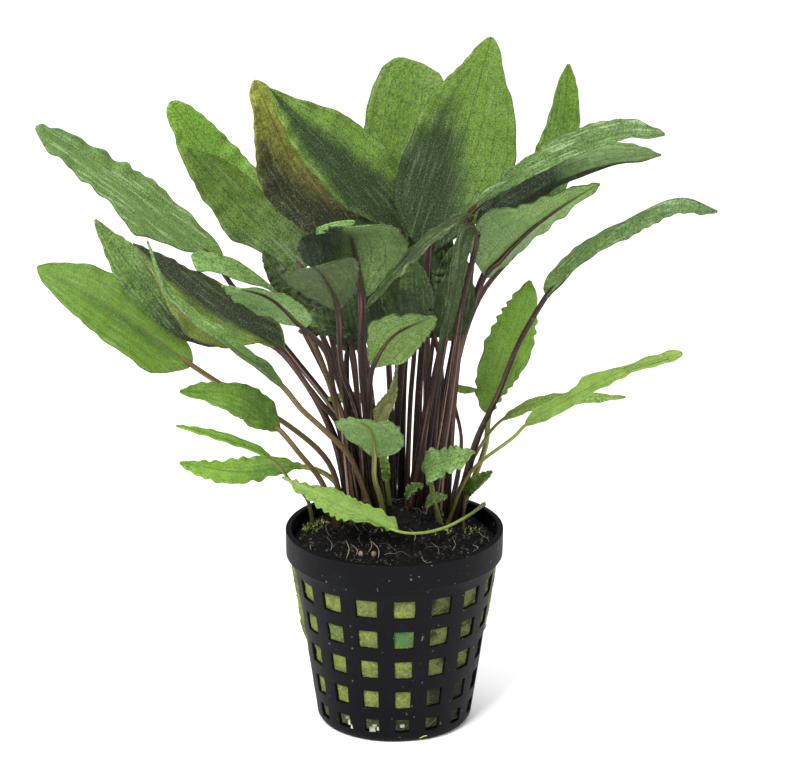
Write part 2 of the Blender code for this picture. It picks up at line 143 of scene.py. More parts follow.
class Shading:
    """Short calls that add nodes to a tree and join them."""

    def __init__(self, tree):
        self.tree = tree

    def add(self, kind, **settings):
        node = self.tree.nodes.new(kind)
        for name, value in settings.items():
            setattr(node, name, value)
        return node

    def put(self, socket, value):
        if isinstance(value, bpy.types.NodeSocket):
            self.tree.links.new(value, socket)
        else:
            socket.default_value = value

    def math(self, operation, *values, clamp=False):
        node = self.add("ShaderNodeMath", operation=operation, use_clamp=clamp)
        for socket, value in zip(node.inputs, values):
            self.put(socket, value)
        return node.outputs[0]

    def plus(self, first, second):
        return self.math("ADD", first, second)

    def minus(self, first, second, clamp=False):
        return self.math("SUBTRACT", first, second, clamp=clamp)

    def times(self, first, second):
        return self.math("MULTIPLY", first, second)

    def fade(self, value, low, high, out_low=0.0, out_high=1.0):
        """A smooth step from low to high."""
        node = self.add("ShaderNodeMapRange", interpolation_type="SMOOTHSTEP")
        for name, setting in (("Value", value), ("From Min", low), ("From Max", high),
                              ("To Min", out_low), ("To Max", out_high)):
            self.put(node.inputs[name], setting)
        return node.outputs["Result"]

    def mix(self, share, first, second, blend="MIX"):
        node = self.add("ShaderNodeMix", data_type="RGBA", blend_type=blend)
        self.put(node.inputs[0], share)
        self.put(node.inputs[6], first)
        self.put(node.inputs[7], second)
        return node.outputs[2]

    def noise(self, vector, scale, detail=2.0, roughness=0.5):
        node = self.add("ShaderNodeTexNoise")
        self.put(node.inputs["Vector"], vector)
        node.inputs["Scale"].default_value = scale
        node.inputs["Detail"].default_value = detail
        node.inputs["Roughness"].default_value = roughness
        return node.outputs["Fac"]

    def cells(self, vector, scale, feature="DISTANCE_TO_EDGE"):
        node = self.add("ShaderNodeTexVoronoi", feature=feature)
        self.put(node.inputs["Vector"], vector)
        node.inputs["Scale"].default_value = scale
        return node.outputs["Distance"]

    def vector(self, x, y, z):
        node = self.add("ShaderNodeCombineXYZ")
        for socket, value in zip(node.inputs, (x, y, z)):
            self.put(socket, value)
        return node.outputs[0]

    def parts(self, vector):
        node = self.add("ShaderNodeSeparateXYZ")
        self.put(node.inputs[0], vector)
        return node.outputs

    def attribute(self, name):
        return self.add("ShaderNodeAttribute", attribute_name=name).outputs["Fac"]

    def place(self):
        return self.add("ShaderNodeTexCoord").outputs["Object"]

    def bump(self, height, strength, distance):
        node = self.add("ShaderNodeBump")
        self.put(node.inputs["Height"], height)
        node.inputs["Strength"].default_value = strength
        node.inputs["Distance"].default_value = distance
        return node.outputs[0]

    def dress(self, shader, colour, roughness, sheen=None, normal=None):
        """Sets a Principled shader's colour and roughness and, where given, its sheen and its bumps."""
        for name, value in (("Base Color", colour), ("Roughness", roughness), ("Specular IOR Level", sheen),
                            ("Normal", normal)):
            if value is not None:
                self.put(shader.inputs[name], value)


def new_material(name):
    """A material, its Principled shader and the calls that add nodes to it."""
    mat = bpy.data.materials.new(name)
    mat.use_nodes = True
    return mat, mat.node_tree.nodes["Principled BSDF"], Shading(mat.node_tree)


# Leaf surface

LEAF_COLOURS = ("Light", "Dark", "Tint", "Under", "Vein", "Stalk", "Stalk Highlight")
LEAF_ZONES = ("Dark And Shade Slope", "Dark And Shade Band", "Tint Slope", "Tint Band")
LEAF_SHARES = ("Veins", "Cross Veins", "Streaks", "Speckle", "Rib", "Seed")
PARALLEL_VEINS = 3.6
CROSS_PITCH = 3.4
CROSS_SLANT = 0.35
VEIN_HALF = 0.05
RIB_EDGE = (0.12, 0.3)
BLOTCH_SCALE = 0.13
PATCH_SCALE = 0.55
WANDER_SCALE = 0.35
GRAIN_SCALE = 2.6
NET_SCALE = 0.85
# The pale of the streaks on the blades is painted sheen.
PAINTED_SHEEN = (196, 222, 176)
STALK_FOOT = (24, 15, 14)
SPECK = (22, 30, 20)
LEAF_SHEEN = 0.18
LEAF_BUMP = (0.55, 0.00035)


def zone_mask(sh, slope, band, across, along, blotch):
    """1 inside a zone of the blade, 0 outside it, with an uneven border.

    slope is (everywhere, at the base, at the tip), band is (gain, centre, reach) across the blade."""
    everywhere, base, tip = sh.parts(slope)
    gain, centre, reach = sh.parts(band)
    level = sh.plus(everywhere, sh.times(base, sh.minus(1.0, along)))
    level = sh.plus(level, sh.times(tip, along))
    away = sh.math("DIVIDE", sh.math("ABSOLUTE", sh.minus(across, centre)), reach)
    level = sh.plus(level, sh.times(gain, sh.minus(1.0, away, clamp=True)))
    level = sh.plus(level, sh.times(sh.minus(blotch, 0.5), 0.7))
    return sh.fade(level, 0.15, 0.85)


def line_at(sh, value, width):
    """1 on the whole numbers of value, falling to 0 within width of them."""
    near = sh.math("PINGPONG", value, 0.5)
    return sh.fade(near, 0.0, width, 1.0, 0.0)


def leaf_surface_group():
    """The node group that all leaf materials share: zones with painted shade, veins, streaks of painted
    sheen, painted glints and specks on blade and stalk.
    """
    tree = bpy.data.node_groups.new("leaf_surface", "ShaderNodeTree")
    for names, kind in ((LEAF_COLOURS, "Color"), (LEAF_ZONES, "Vector"), (LEAF_SHARES, "Float")):
        for name in names:
            tree.interface.new_socket(name=name, in_out="INPUT", socket_type="NodeSocket" + kind)
    for name, kind in (("Colour", "Color"), ("Roughness", "Float"), ("Height", "Float")):
        tree.interface.new_socket(name=name, in_out="OUTPUT", socket_type="NodeSocket" + kind)
    sh = Shading(tree)
    given = sh.add("NodeGroupInput").outputs
    result = sh.add("NodeGroupOutput").inputs
    across, along = sh.attribute("across"), sh.attribute("along")
    across_mm, along_mm = sh.attribute("across_mm"), sh.attribute("along_mm")
    under, stalk = sh.attribute("under"), sh.attribute("stalk")
    seed = given["Seed"]
    away = sh.math("ABSOLUTE", across)
    away_mm = sh.math("ABSOLUTE", across_mm)
    flat = sh.vector(across_mm, along_mm, seed)
    blotch = sh.noise(flat, BLOTCH_SCALE, 3.0, 0.6)
    patch = sh.noise(flat, PATCH_SCALE, 3.0, 0.65)
    wander = sh.minus(sh.noise(flat, WANDER_SCALE, 2.0), 0.5)
    grain = sh.noise(flat, GRAIN_SCALE, 3.0, 0.75)

    # The dark zone: darker leaf colour, and painted shade where the blade lies in shadow.
    dark = zone_mask(sh, given["Dark And Shade Slope"], given["Dark And Shade Band"], across, along, blotch)
    dark = sh.times(dark, sh.fade(grain, 0.3, 0.6, 0.76, 1.0))
    tint = zone_mask(sh, given["Tint Slope"], given["Tint Band"], across, along, patch)
    colour = sh.mix(sh.times(under, 0.85), given["Light"], given["Under"])
    colour = sh.mix(tint, colour, given["Tint"])
    colour = sh.mix(dark, colour, given["Dark"])
    colour = sh.mix(sh.fade(patch, 0.35, 0.7, 0.0, 0.3), colour, given["Dark"])

    # Pale streaks along the blade: painted sheen, a painted highlight mixed into the leaf's colour.
    length_place = sh.vector(sh.times(across_mm, 1.3), sh.times(along_mm, 0.09), seed)
    length_streak = sh.noise(length_place, 1.0, 3.0, 0.6)
    pale = sh.mix(0.5, given["Light"], screen(*PAINTED_SHEEN))
    streak = sh.times(sh.fade(length_streak, 0.5, 0.72), given["Streaks"])
    colour = sh.mix(streak, colour, pale)

    vein_place = sh.plus(sh.times(away, PARALLEL_VEINS), sh.times(wander, 0.35))
    parallel = sh.times(line_at(sh, vein_place, VEIN_HALF), sh.fade(along, 1.0, 0.75))
    midrib = sh.times(sh.fade(away_mm, *RIB_EDGE, 1.0, 0.0), sh.fade(wander, -0.25, 0.1, 0.4, 1.0))
    parallel = sh.times(parallel, sh.fade(away, 0.1, 0.2))
    cross_place = sh.plus(sh.math("DIVIDE", along_mm, CROSS_PITCH),
                          sh.times(away_mm, -CROSS_SLANT / CROSS_PITCH))
    cross_place = sh.plus(cross_place, sh.times(wander, 1.6))
    cross = sh.times(line_at(sh, cross_place, VEIN_HALF), sh.fade(patch, 0.38, 0.55))
    net = sh.fade(sh.cells(flat, NET_SCALE), 0.0, 0.09, 1.0, 0.0)

    colour = sh.mix(sh.times(net, 0.1), colour, given["Vein"])
    colour = sh.mix(sh.times(cross, given["Cross Veins"]), colour, given["Vein"])
    lines = sh.math("MAXIMUM", sh.times(parallel, given["Veins"]), sh.times(midrib, given["Rib"]))
    colour = sh.mix(lines, colour, given["Vein"])
    edge = sh.times(sh.fade(away, 0.955, 1.0), 0.6)
    colour = sh.mix(edge, colour, given["Vein"])

    # Pale streaks along the stalk: painted highlights.
    stalk_place = sh.vector(sh.times(across, 3.2), sh.times(along_mm, 0.035), seed)
    stalk_highlight = sh.noise(stalk_place, 1.0, 2.0)
    stalk_colour = sh.mix(sh.fade(stalk_highlight, 0.54, 0.66, 0.0, 0.7), given["Stalk"], given["Stalk Highlight"])
    stalk_colour = sh.mix(sh.fade(along, -0.45, -1.0, 0.0, 0.6), stalk_colour, screen(*STALK_FOOT))
    stalk_colour = sh.mix(sh.fade(along, 0.6, 1.05), stalk_colour, given["Under"])
    colour = sh.mix(stalk, colour, stalk_colour)

    speck = sh.times(sh.fade(grain, 0.46, 0.66), given["Speckle"])
    colour = sh.mix(speck, colour, screen(*SPECK))
    # Pale specks on the blade: painted glints.
    glint = sh.times(sh.fade(grain, 0.42, 0.26), 0.35)
    colour = sh.mix(glint, colour, pale)
    sh.put(result["Colour"], colour)
    rough = sh.plus(0.36, sh.times(grain, 0.3))
    sh.put(result["Roughness"], rough)
    height = sh.minus(sh.times(grain, 0.35), sh.times(parallel, 0.55))
    height = sh.minus(height, sh.times(cross, 0.35))
    height = sh.minus(height, sh.times(net, 0.2))
    sh.put(result["Height"], sh.plus(height, sh.times(length_streak, 0.9)))
    return tree


# Greens by kind of leaf: light, dark, tint, under, vein. Each dark is darker leaf colour and painted shade in
# the dark zones; the near-black dark of the shaded kind is a painted shadow.
GREENS = {
    "bright": ((112, 152, 48), (62, 96, 36), (146, 158, 60), (124, 152, 78), (58, 78, 34)),
    "fresh": ((138, 170, 72), (92, 126, 54), (166, 184, 96), (140, 168, 92), (78, 104, 50)),
    "pale": ((114, 148, 74), (62, 90, 50), (138, 166, 100), (122, 152, 88), (54, 74, 46)),
    "mid": ((106, 138, 50), (36, 50, 30), (118, 144, 58), (108, 140, 70), (40, 54, 32)),
    "deep": ((92, 120, 54), (30, 38, 28), (96, 106, 50), (94, 118, 60), (32, 38, 28)),
    "olive": ((98, 122, 48), (34, 38, 30), (120, 128, 54), (112, 136, 62), (36, 36, 28)),
    "yellow": ((140, 146, 54), (34, 38, 28), (104, 98, 48), (124, 134, 60), (46, 42, 30)),
    "rolled": ((142, 142, 82), (84, 80, 48), (150, 128, 88), (132, 136, 80), (72, 66, 44)),
    "shaded": ((118, 150, 84), (6, 8, 9), (92, 120, 62), (112, 142, 84), (50, 66, 42)),
}
# Stalks: ground colour and streak, the pale streak a painted highlight along the stalk
STALKS = {
    "purple": ((46, 25, 23), (132, 94, 82)),
    "brown": ((92, 74, 44), (150, 130, 84)),
    "russet": ((52, 27, 23), (134, 88, 68)),
    "olive": ((112, 112, 52), (164, 164, 96)),
    "green": ((138, 158, 72), (182, 194, 116)),
}


def leaf_material(spec, seed):
    """The skin of one leaf, from its kind of green, its zones and its kind of stalk."""
    mat, shader, sh = new_material(spec["name"] + "_skin")
    group = sh.add("ShaderNodeGroup")
    group.node_tree = bpy.data.node_groups["leaf_surface"]
    given = [toned(screen(*colour), spec["tone"]) for colour in GREENS[spec["green"]]]
    given += [screen(*colour) for colour in STALKS[spec["stalk_kind"]]]
    given += [spec["dark"][:3], spec["dark"][3:], spec["tint"][:3], spec["tint"][3:]]
    given += [spec[key] for key in ("veins", "cross", "streaks", "speckle", "rib")] + [seed]
    for socket, value in zip(LEAF_COLOURS + LEAF_ZONES + LEAF_SHARES, given):
        group.inputs[socket].default_value = value
    made = group.outputs
    sh.dress(shader, made["Colour"], made["Roughness"], LEAF_SHEEN, sh.bump(made["Height"], *LEAF_BUMP))
    return mat


# Leaf shapes

def soil_height(x, y):
    """Height of the soil's top at (x, y): a low mound under the plant's crown."""
    away = math.hypot(x - MOUND_CENTRE[0], y - MOUND_CENTRE[1])
    return SOIL_EDGE + MOUND_HEIGHT * math.exp(-(away / MOUND_SPREAD) ** 2)


def cubic(s):
    """The weights of start, first pull, end and second pull on a smooth curve at s from 0 to 1."""
    return 2 * s ** 3 - 3 * s ** 2 + 1, s ** 3 - 2 * s ** 2 + s, 3 * s ** 2 - 2 * s ** 3, s ** 3 - s ** 2


def smooth_path(points):
    """A smooth curve through the points, as a dense polyline, and each point's place on it."""
    pts = [Vector(p) for p in points]
    ring = [pts[0] * 2 - pts[1]] + pts + [pts[-1] * 2 - pts[-2]]
    dense, marks = [], []
    for i in range(1, len(ring) - 2):
        p0, p1, p2, p3 = ring[i - 1:i + 3]
        reach = (p2 - p1).length
        pull_1 = (p2 - p0).normalized() * reach
        pull_2 = (p3 - p1).normalized() * reach
        marks.append(len(dense))
        for step in range(PATH_STEPS):
            a, b, c, d = cubic(step / PATH_STEPS)
            dense.append(p1 * a + pull_1 * b + p2 * c + pull_2 * d)
    marks.append(len(dense))
    dense.append(pts[-1])
    return dense, marks


def spread(point):
    """A leaf point moved to its real depth along the line of sight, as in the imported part."""
    x, y, z = point
    climb = min(1.0, max(0.0, (z - SPREAD_FROM) / (SPREAD_FULL - SPREAD_FROM)))
    grown = climb * climb * (3 - 2 * climb)
    extra = (y - CROWN_Y) * (DEPTH_SPREAD - 1) * grown
    slope = (EYE_HEIGHT - z) / EYE_DISTANCE
    return (x * (1 + extra / EYE_DISTANCE), y + extra, z - extra * slope + FLOOR)


def distances(points):
    """How far along a polyline each of its points lies."""
    return np.concatenate([[0.0], np.cumsum(np.linalg.norm(np.diff(points, axis=0), axis=1))])


def evenly(dense, count):
    """count points at even distances along a polyline, as an array."""
    pts = np.array([tuple(p) for p in dense])
    reach = distances(pts)
    want = np.linspace(0.0, reach[-1], count)
    return np.stack([np.interp(want, reach, pts[:, k]) for k in range(3)], axis=1)


def unit(v):
    return v / np.maximum(np.linalg.norm(v, axis=-1, keepdims=True), 1e-12)


def leaf_line(spec):
    """The stalk's and the blade's midrib points, with a direction and an upper-side normal at each."""
    foot_x, foot_y = spec["stalk"][0]
    foot = (foot_x, foot_y, soil_height(foot_x, foot_y) - FOOT_DEPTH + spec["foot_rise"])
    points = [foot] + [spread(p) for p in spec["stalk"][1:] + spec["blade"]]
    dense, marks = smooth_path(points)
    collar = marks[len(spec["stalk"])]
    stalk = evenly(dense[:collar + 1], STALK_STATIONS)
    blade = evenly(dense[collar:], BLADE_STATIONS)
    places = np.concatenate([stalk[:-1], blade])
    directions = unit(np.gradient(places, axis=0))
    middle = STALK_STATIONS - 1 + BLADE_STATIONS // 2
    normals = np.zeros_like(places)
    face = np.array(spec["face"], float)
    normals[middle] = unit(face - directions[middle] * face.dot(directions[middle]))
    for order in (range(middle + 1, len(places)), range(middle - 1, -1, -1)):
        before = middle
        for i in order:
            carried = normals[before] - directions[i] * normals[before].dot(directions[i])
            normals[i] = unit(carried)
            before = i
    return places, directions, normals


def through(values, t):
    """A smooth curve through evenly spaced values, read at t from 0 to 1."""
    knots = np.array(values, float)
    place = np.clip(t, 0.0, 1.0) * (len(knots) - 1)
    low = np.clip(np.floor(place).astype(int), 0, len(knots) - 2)
    a, b, c, d = cubic(place - low)
    slopes = np.gradient(knots)
    return knots[low] * a + slopes[low] * b + knots[low + 1] * c + slopes[low + 1] * d


def profile(spec, t, side):
    """Half of the blade's width at each t for one side, -1 or 1."""
    a, b = spec["base"], spec["tip"]
    widest = a / (a + b)
    top = widest ** a * (1 - widest) ** b
    inside = np.clip(t, 0.0, 1.0)
    width = spec["width"] / 2 * inside ** a * (1 - inside) ** b / top
    share = spec["right"] if side > 0 else spec["left"]
    return np.maximum(width * through(share, inside), LEAST_HALF_WIDTH)


def wavy(t, count, phase, seed):
    """An uneven wave along the blade, between about -1 and 1."""
    bend = np.array([noise.noise(Vector((v * 3.1, seed, 0.3))) for v in t])
    size = np.array([WAVE_MEAN + WAVE_UNEVEN * noise.noise(Vector((v * 4.7, seed, 7.1))) for v in t])
    return size * np.sin(TURN * count * (t + WAVE_BEND * bend) + phase)


def point_values(shape, **values):
    """The values at a mesh's points, each spread over the whole grid of them."""
    return {name: np.broadcast_to(value, shape).reshape(-1) for name, value in values.items()}


def make_blade(spec, places, directions, normals, seed):
    """The blade as a thin closed sheet: rows of points, with the values its material reads."""
    t = np.linspace(0.0, 1.0, len(places))
    sides = np.cross(directions, normals)
    crowding = math.pi / 2 * MARGIN_CROWDING
    s = (np.sin(np.linspace(-1, 1, 2 * ACROSS + 1) * crowding) / math.sin(crowding))[None, :]
    far = np.abs(s)
    ends = np.clip(t / CALM_COLLAR, 0, 1) * np.clip((1 - t) / CALM_TIP, 0, 1)
    halves, waves = [], []
    for side, tooth_phase, tooth_seed, wave_phase, wave_seed in MARGINS:
        crimp = spec["teeth"] * ends * wavy(t, spec["tooth_count"], tooth_phase, seed + tooth_seed)
        halves.append((profile(spec, t, side) + crimp)[:, None])
        waves.append((spec["ruffle"] * wavy(t, spec["waves"], wave_phase, seed + wave_seed) * ends)[:, None])
    reach = far * np.where(s < 0, *halves)
    fold = np.radians(np.interp(t, [0, 0.5, 1], spec["folds"]))[:, None]
    out = reach * np.cos(fold) * np.sign(s)
    up = reach * np.sin(fold) + MARGIN_CUP * far ** 2.5 + np.where(s < 0, *waves) * far ** 1.6
    up = up + QUILT_HEIGHT * np.sin(far * PARALLEL_VEINS * TURN) * ends[:, None]
    back = spec["lobe"] * np.maximum(0.0, 1 - t / LOBE_REACH)[:, None] * far ** 1.4
    grid = (places[:, None, :] + sides[:, None, :] * out[..., None] + normals[:, None, :] * up[..., None]
            - directions[:, None, :] * back[..., None])
    surface = unit(np.cross(np.gradient(grid, axis=0), np.gradient(grid, axis=1)))
    flip = np.sign((surface * normals[:, None, :]).sum(-1, keepdims=True))
    skin = surface * np.where(flip == 0, 1, flip) * BLADE_THICKNESS / 2
    verts = np.concatenate([(grid + skin).reshape(-1, 3), (grid - skin).reshape(-1, 3)])
    rows, cols = grid.shape[:2]
    count = rows * cols
    faces = []
    for i in range(rows - 1):
        for j in range(cols - 1):
            a, b, c, d = i * cols + j, i * cols + j + 1, (i + 1) * cols + j + 1, (i + 1) * cols + j
            faces.append((a, b, c, d))
            faces.append((count + d, count + c, count + b, count + a))
    last = (rows - 1) * cols
    rim = [*range(cols), *range(2 * cols - 1, rows * cols, cols), *range(last + cols - 2, last - 1, -1),
           *range(last - cols, 0, -cols)]
    for a, b in zip(rim, rim[1:] + rim[:1]):
        faces.append((b, a, count + a, count + b))
    return verts, faces, point_values(
        (2, rows, cols), across=s, along=t[:, None], across_mm=reach * np.sign(s),
        along_mm=distances(places)[:, None], stalk=0.0, under=np.array([0.0, 1.0])[:, None, None])


def make_stalk(spec, places, directions, normals, seed):
    """The stalk as a grooved tube that goes on along the blade's underside as its midrib."""
    sides = np.cross(directions, normals)
    stalk_share = np.linspace(0, 1, STALK_STATIONS)
    t = np.linspace(0, 1, BLADE_STATIONS)
    r = spec["stalk_radius"]
    on_stalk = r * (1.0 + FOOT_FLARE * np.exp(-stalk_share / FLARE_REACH))
    thin = (1 - t) ** 0.8 * (0.55 + 0.45 * np.exp(-t / FLARE_REACH))
    on_blade = RIB_TIP_RADIUS + (r - RIB_TIP_RADIUS) * thin
    radius = np.concatenate([on_stalk[:-1], on_blade])
    sink = np.concatenate([np.zeros(STALK_STATIONS - 1), np.clip(t / 0.06, 0, 1)]) * radius * RIB_SINK
    centre = places - normals * sink[:, None]
    angles = np.linspace(0, TURN, STALK_SIDES, endpoint=False)
    grooves = 1 - GROOVE * (1 + np.cos(angles * 4 + seed))
    ring = np.stack([np.cos(angles), np.sin(angles)])
    verts = (centre[:, None, :] + sides[:, None, :] * (radius[:, None] * ring[0] * grooves)[..., None]
             + normals[:, None, :] * (radius[:, None] * ring[1] * grooves)[..., None])
    rows = len(places)
    share = np.concatenate([stalk_share[:-1] - 1, t])
    return verts.reshape(-1, 3), closed_tube(rows, STALK_SIDES), point_values(
        (rows, STALK_SIDES), across=ring[0] * ring[1] + 0.5 * ring[0], along=share[:, None],
        across_mm=ring[0] * 3, along_mm=distances(places)[:, None], stalk=1.0, under=0.0)


def mesh_object(name, verts, faces, mat, values=None, smooth=True):
    """An object from points in millimetres, its faces and the values at its points."""
    mesh = bpy.data.meshes.new(name)
    mesh.from_pydata((np.asarray(verts) * MM).tolist(), [], faces)
    for key, numbers in (values or {}).items():
        layer = mesh.attributes.new(key, "FLOAT", "POINT")
        layer.data.foreach_set("value", np.asarray(numbers, np.float32))
    if smooth:
        mesh.shade_smooth()
    mesh.materials.append(mat)
    mesh.update()
    thing = bpy.data.objects.new(name, mesh)
    bpy.context.scene.collection.objects.link(thing)
    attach(thing, BODY)
    return thing


class Pile:
    """Points, faces and shades gathered into one mesh."""

    def __init__(self):
        self.verts, self.faces, self.shades = [], [], []

    def add(self, points, faces, shade):
        start = len(self.verts)
        self.verts += points
        self.faces += [tuple(start + corner for corner in face) for face in faces]
        self.shades += [shade] * len(points)

    def build(self, name, mat, smooth=False):
        mesh_object(name, self.verts, self.faces, mat, {"shade": self.shades}, smooth)


def ring_point(radius, angle, z):
    """A point at a radius and an angle round the pot's axis."""
    return (radius * math.cos(angle), radius * math.sin(angle), z)


def tube_faces(rows, sides, flipped=False):
    """The faces between rows of points, each row a closed ring of so many sides."""
    faces = []
    for low in range(0, (rows - 1) * sides, sides):
        for j in range(sides):
            k = (j + 1) % sides
            a, b, c, d = low + j, low + k, low + sides + k, low + sides + j
            faces.append((a, d, c, b) if flipped else (a, b, c, d))
    return faces


def closed_tube(rows, sides):
    """A tube's faces with its two ends."""
    last = (rows - 1) * sides
    return tube_faces(rows, sides) + [tuple(reversed(range(sides))), tuple(range(last, last + sides))]


def fan(centre, start, sides, flipped=False):
    """The faces between a ring of points and a point at its centre."""
    faces = []
    for j in range(sides):
        a, b = start + j, start + (j + 1) % sides
        faces.append((centre, b, a) if flipped else (centre, a, b))
    return faces


# Strands: sheaths, roots, fibres and threads

STRAND_SIDES = 5
STRAND_TAPER = 0.7
UPRIGHT = 0.9
STRAND_SHEEN = 0.15
SHEATHS_PER_STALK = 2
SHEATH_GAP = 0.35


def strands(name, lines, mat):
    """One mesh of thin tubes that taper. Each line is (points, radius, shade)."""
    pile = Pile()
    for points, radius, shade in lines:
        places = np.array(points, float)
        along = unit(np.gradient(places, axis=0))
        helper = np.where(np.abs(along[:, 2:]) > UPRIGHT, [[1.0, 0, 0]], [[0, 0, 1.0]])
        side = unit(np.cross(along, helper))
        up = np.cross(side, along)
        skin = []
        for i, place in enumerate(places):
            r = radius * (1 - STRAND_TAPER * (i / (len(places) - 1)) ** 2)
            for j in range(STRAND_SIDES):
                angle = TURN * j / STRAND_SIDES
                skin.append(place + r * (side[i] * math.cos(angle) + up[i] * math.sin(angle)))
        pile.add(skin, closed_tube(len(places), STRAND_SIDES), shade)
    pile.build(name, mat, smooth=True)


def shaded_material(name, dark, light, roughness):
    """A material that runs from dark to light with the piece's shade values, with fine mottling."""
    mat, shader, sh = new_material(name)
    mottle = sh.noise(sh.place(), 1800.0, 3.0, 0.6)
    share = sh.plus(sh.attribute("shade"), sh.times(sh.minus(mottle, 0.5), 0.7))
    colour = sh.mix(sh.fade(share, 0.0, 1.0), screen(*dark), screen(*light))
    rough = sh.plus(roughness, sh.times(mottle, 0.2))
    sh.dress(shader, colour, rough, STRAND_SHEEN, sh.bump(mottle, 0.4, 0.0002))
    return mat


def make_sheaths(specs):
    """Thin sheath strands that leave the soil beside the stalks and close on them further up."""
    rng = random.Random(SEEDS["sheaths"])
    lines = []
    for spec in specs:
        if spec["stalk_kind"] not in ("purple", "russet"):
            continue
        places = leaf_line(spec)[0]
        for _ in range(SHEATHS_PER_STALK):
            top = int(STALK_STATIONS * rng.uniform(0.55, 0.95))
            angle, reach = rng.uniform(0, TURN), rng.uniform(0.4, 1.2)
            radius = rng.uniform(0.22, 0.4)
            points = []
            for i in range(top + 1):
                gap = reach * (1 - (i / top) ** 2) + SHEATH_GAP
                points.append(places[i] + np.array(ring_point(gap, angle, 0)))
            # A few sheaths are pale: painted highlights, thin light lines among the stalks.
            lines.append((points, radius, 0.9 * rng.random() ** 2.5))
    strands("stalk_sheaths", lines, shaded_material("sheath_skin", (26, 15, 14), (150, 124, 110), 0.5))


def make_leaf(spec, index, packed=True):
    """One leaf. A packed one takes the place of its solid."""
    seed = index * SEED_STEP
    places, directions, normals = leaf_line(spec)
    first = STALK_STATIONS - 1
    parts = [make_blade(spec, places[first:], directions[first:], normals[first:], seed),
             make_stalk(spec, places, directions, normals, seed)]
    verts, faces, values, offset = [], [], {}, 0
    for part_verts, part_faces, part_values in parts:
        verts.append(part_verts)
        faces += [tuple(offset + v for v in face) for face in part_faces]
        offset += len(part_verts)
        for key, numbers in part_values.items():
            values.setdefault(key, []).append(numbers)
    values = {key: np.concatenate(chunks) for key, chunks in values.items()}
    skin = leaf_material(spec, seed)
    thing = mesh_object(spec["name"] + "_grown", np.concatenate(verts), faces, skin, values)
    if packed:
        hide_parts(spec["name"])


# What a leaf takes where its own call says nothing else. left and right scale the two half widths from
# collar to tip. base and tip shape the plan. lobe draws the margins back past the collar. ruffle and waves
# are the blade's waves. teeth and tooth_count are its crimped edge. foot_rise lifts the stalk's foot. dark
# and tint are zones: everywhere, at the base, at the tip, then gain, centre and reach across the blade. The
# dark zone is darker leaf colour, and painted shade where the blade lies in shadow. veins, cross, the
# streaks of painted sheen, speckle and rib are strengths of the markings. tone makes the whole blade
# lighter or darker: the leaf's own green, and painted light and shade for how brightly it is lit.
LEAF_DEFAULTS = {
    "base": 0.5, "tip": 0.75, "lobe": 1.0, "stalk_radius": STALK_RADIUS, "left": (1, 1), "right": (1, 1),
    "ruffle": 0.5, "waves": 5.0, "teeth": 0.15, "tooth_count": 11,
    "dark": (0.2, 0.3, 0, 0, 0, 1), "tint": (0, 0, 0, 0, 0, 1), "veins": 0.35, "cross": 0.4, "streaks": 0.15,
    "speckle": 0.75, "tone": 1.0, "rib": 0.5, "stalk_kind": "purple", "foot_rise": 0.0,
}


def leaf(name, stalk, blade, width, face, green="mid", fold=12, **given):
    """One leaf. stalk: (x, y) of the foot, then points up the stalk. blade: collar, points, tip.

    face is the way that the upper side looks, and fold lifts the two halves, in degrees. folds can be given
    instead, for collar, middle and tip."""
    own = {"name": name, "stalk": stalk, "blade": blade, "width": width, "face": face, "green": green}
    return {**LEAF_DEFAULTS, **own, "folds": (fold, fold, fold), **given}


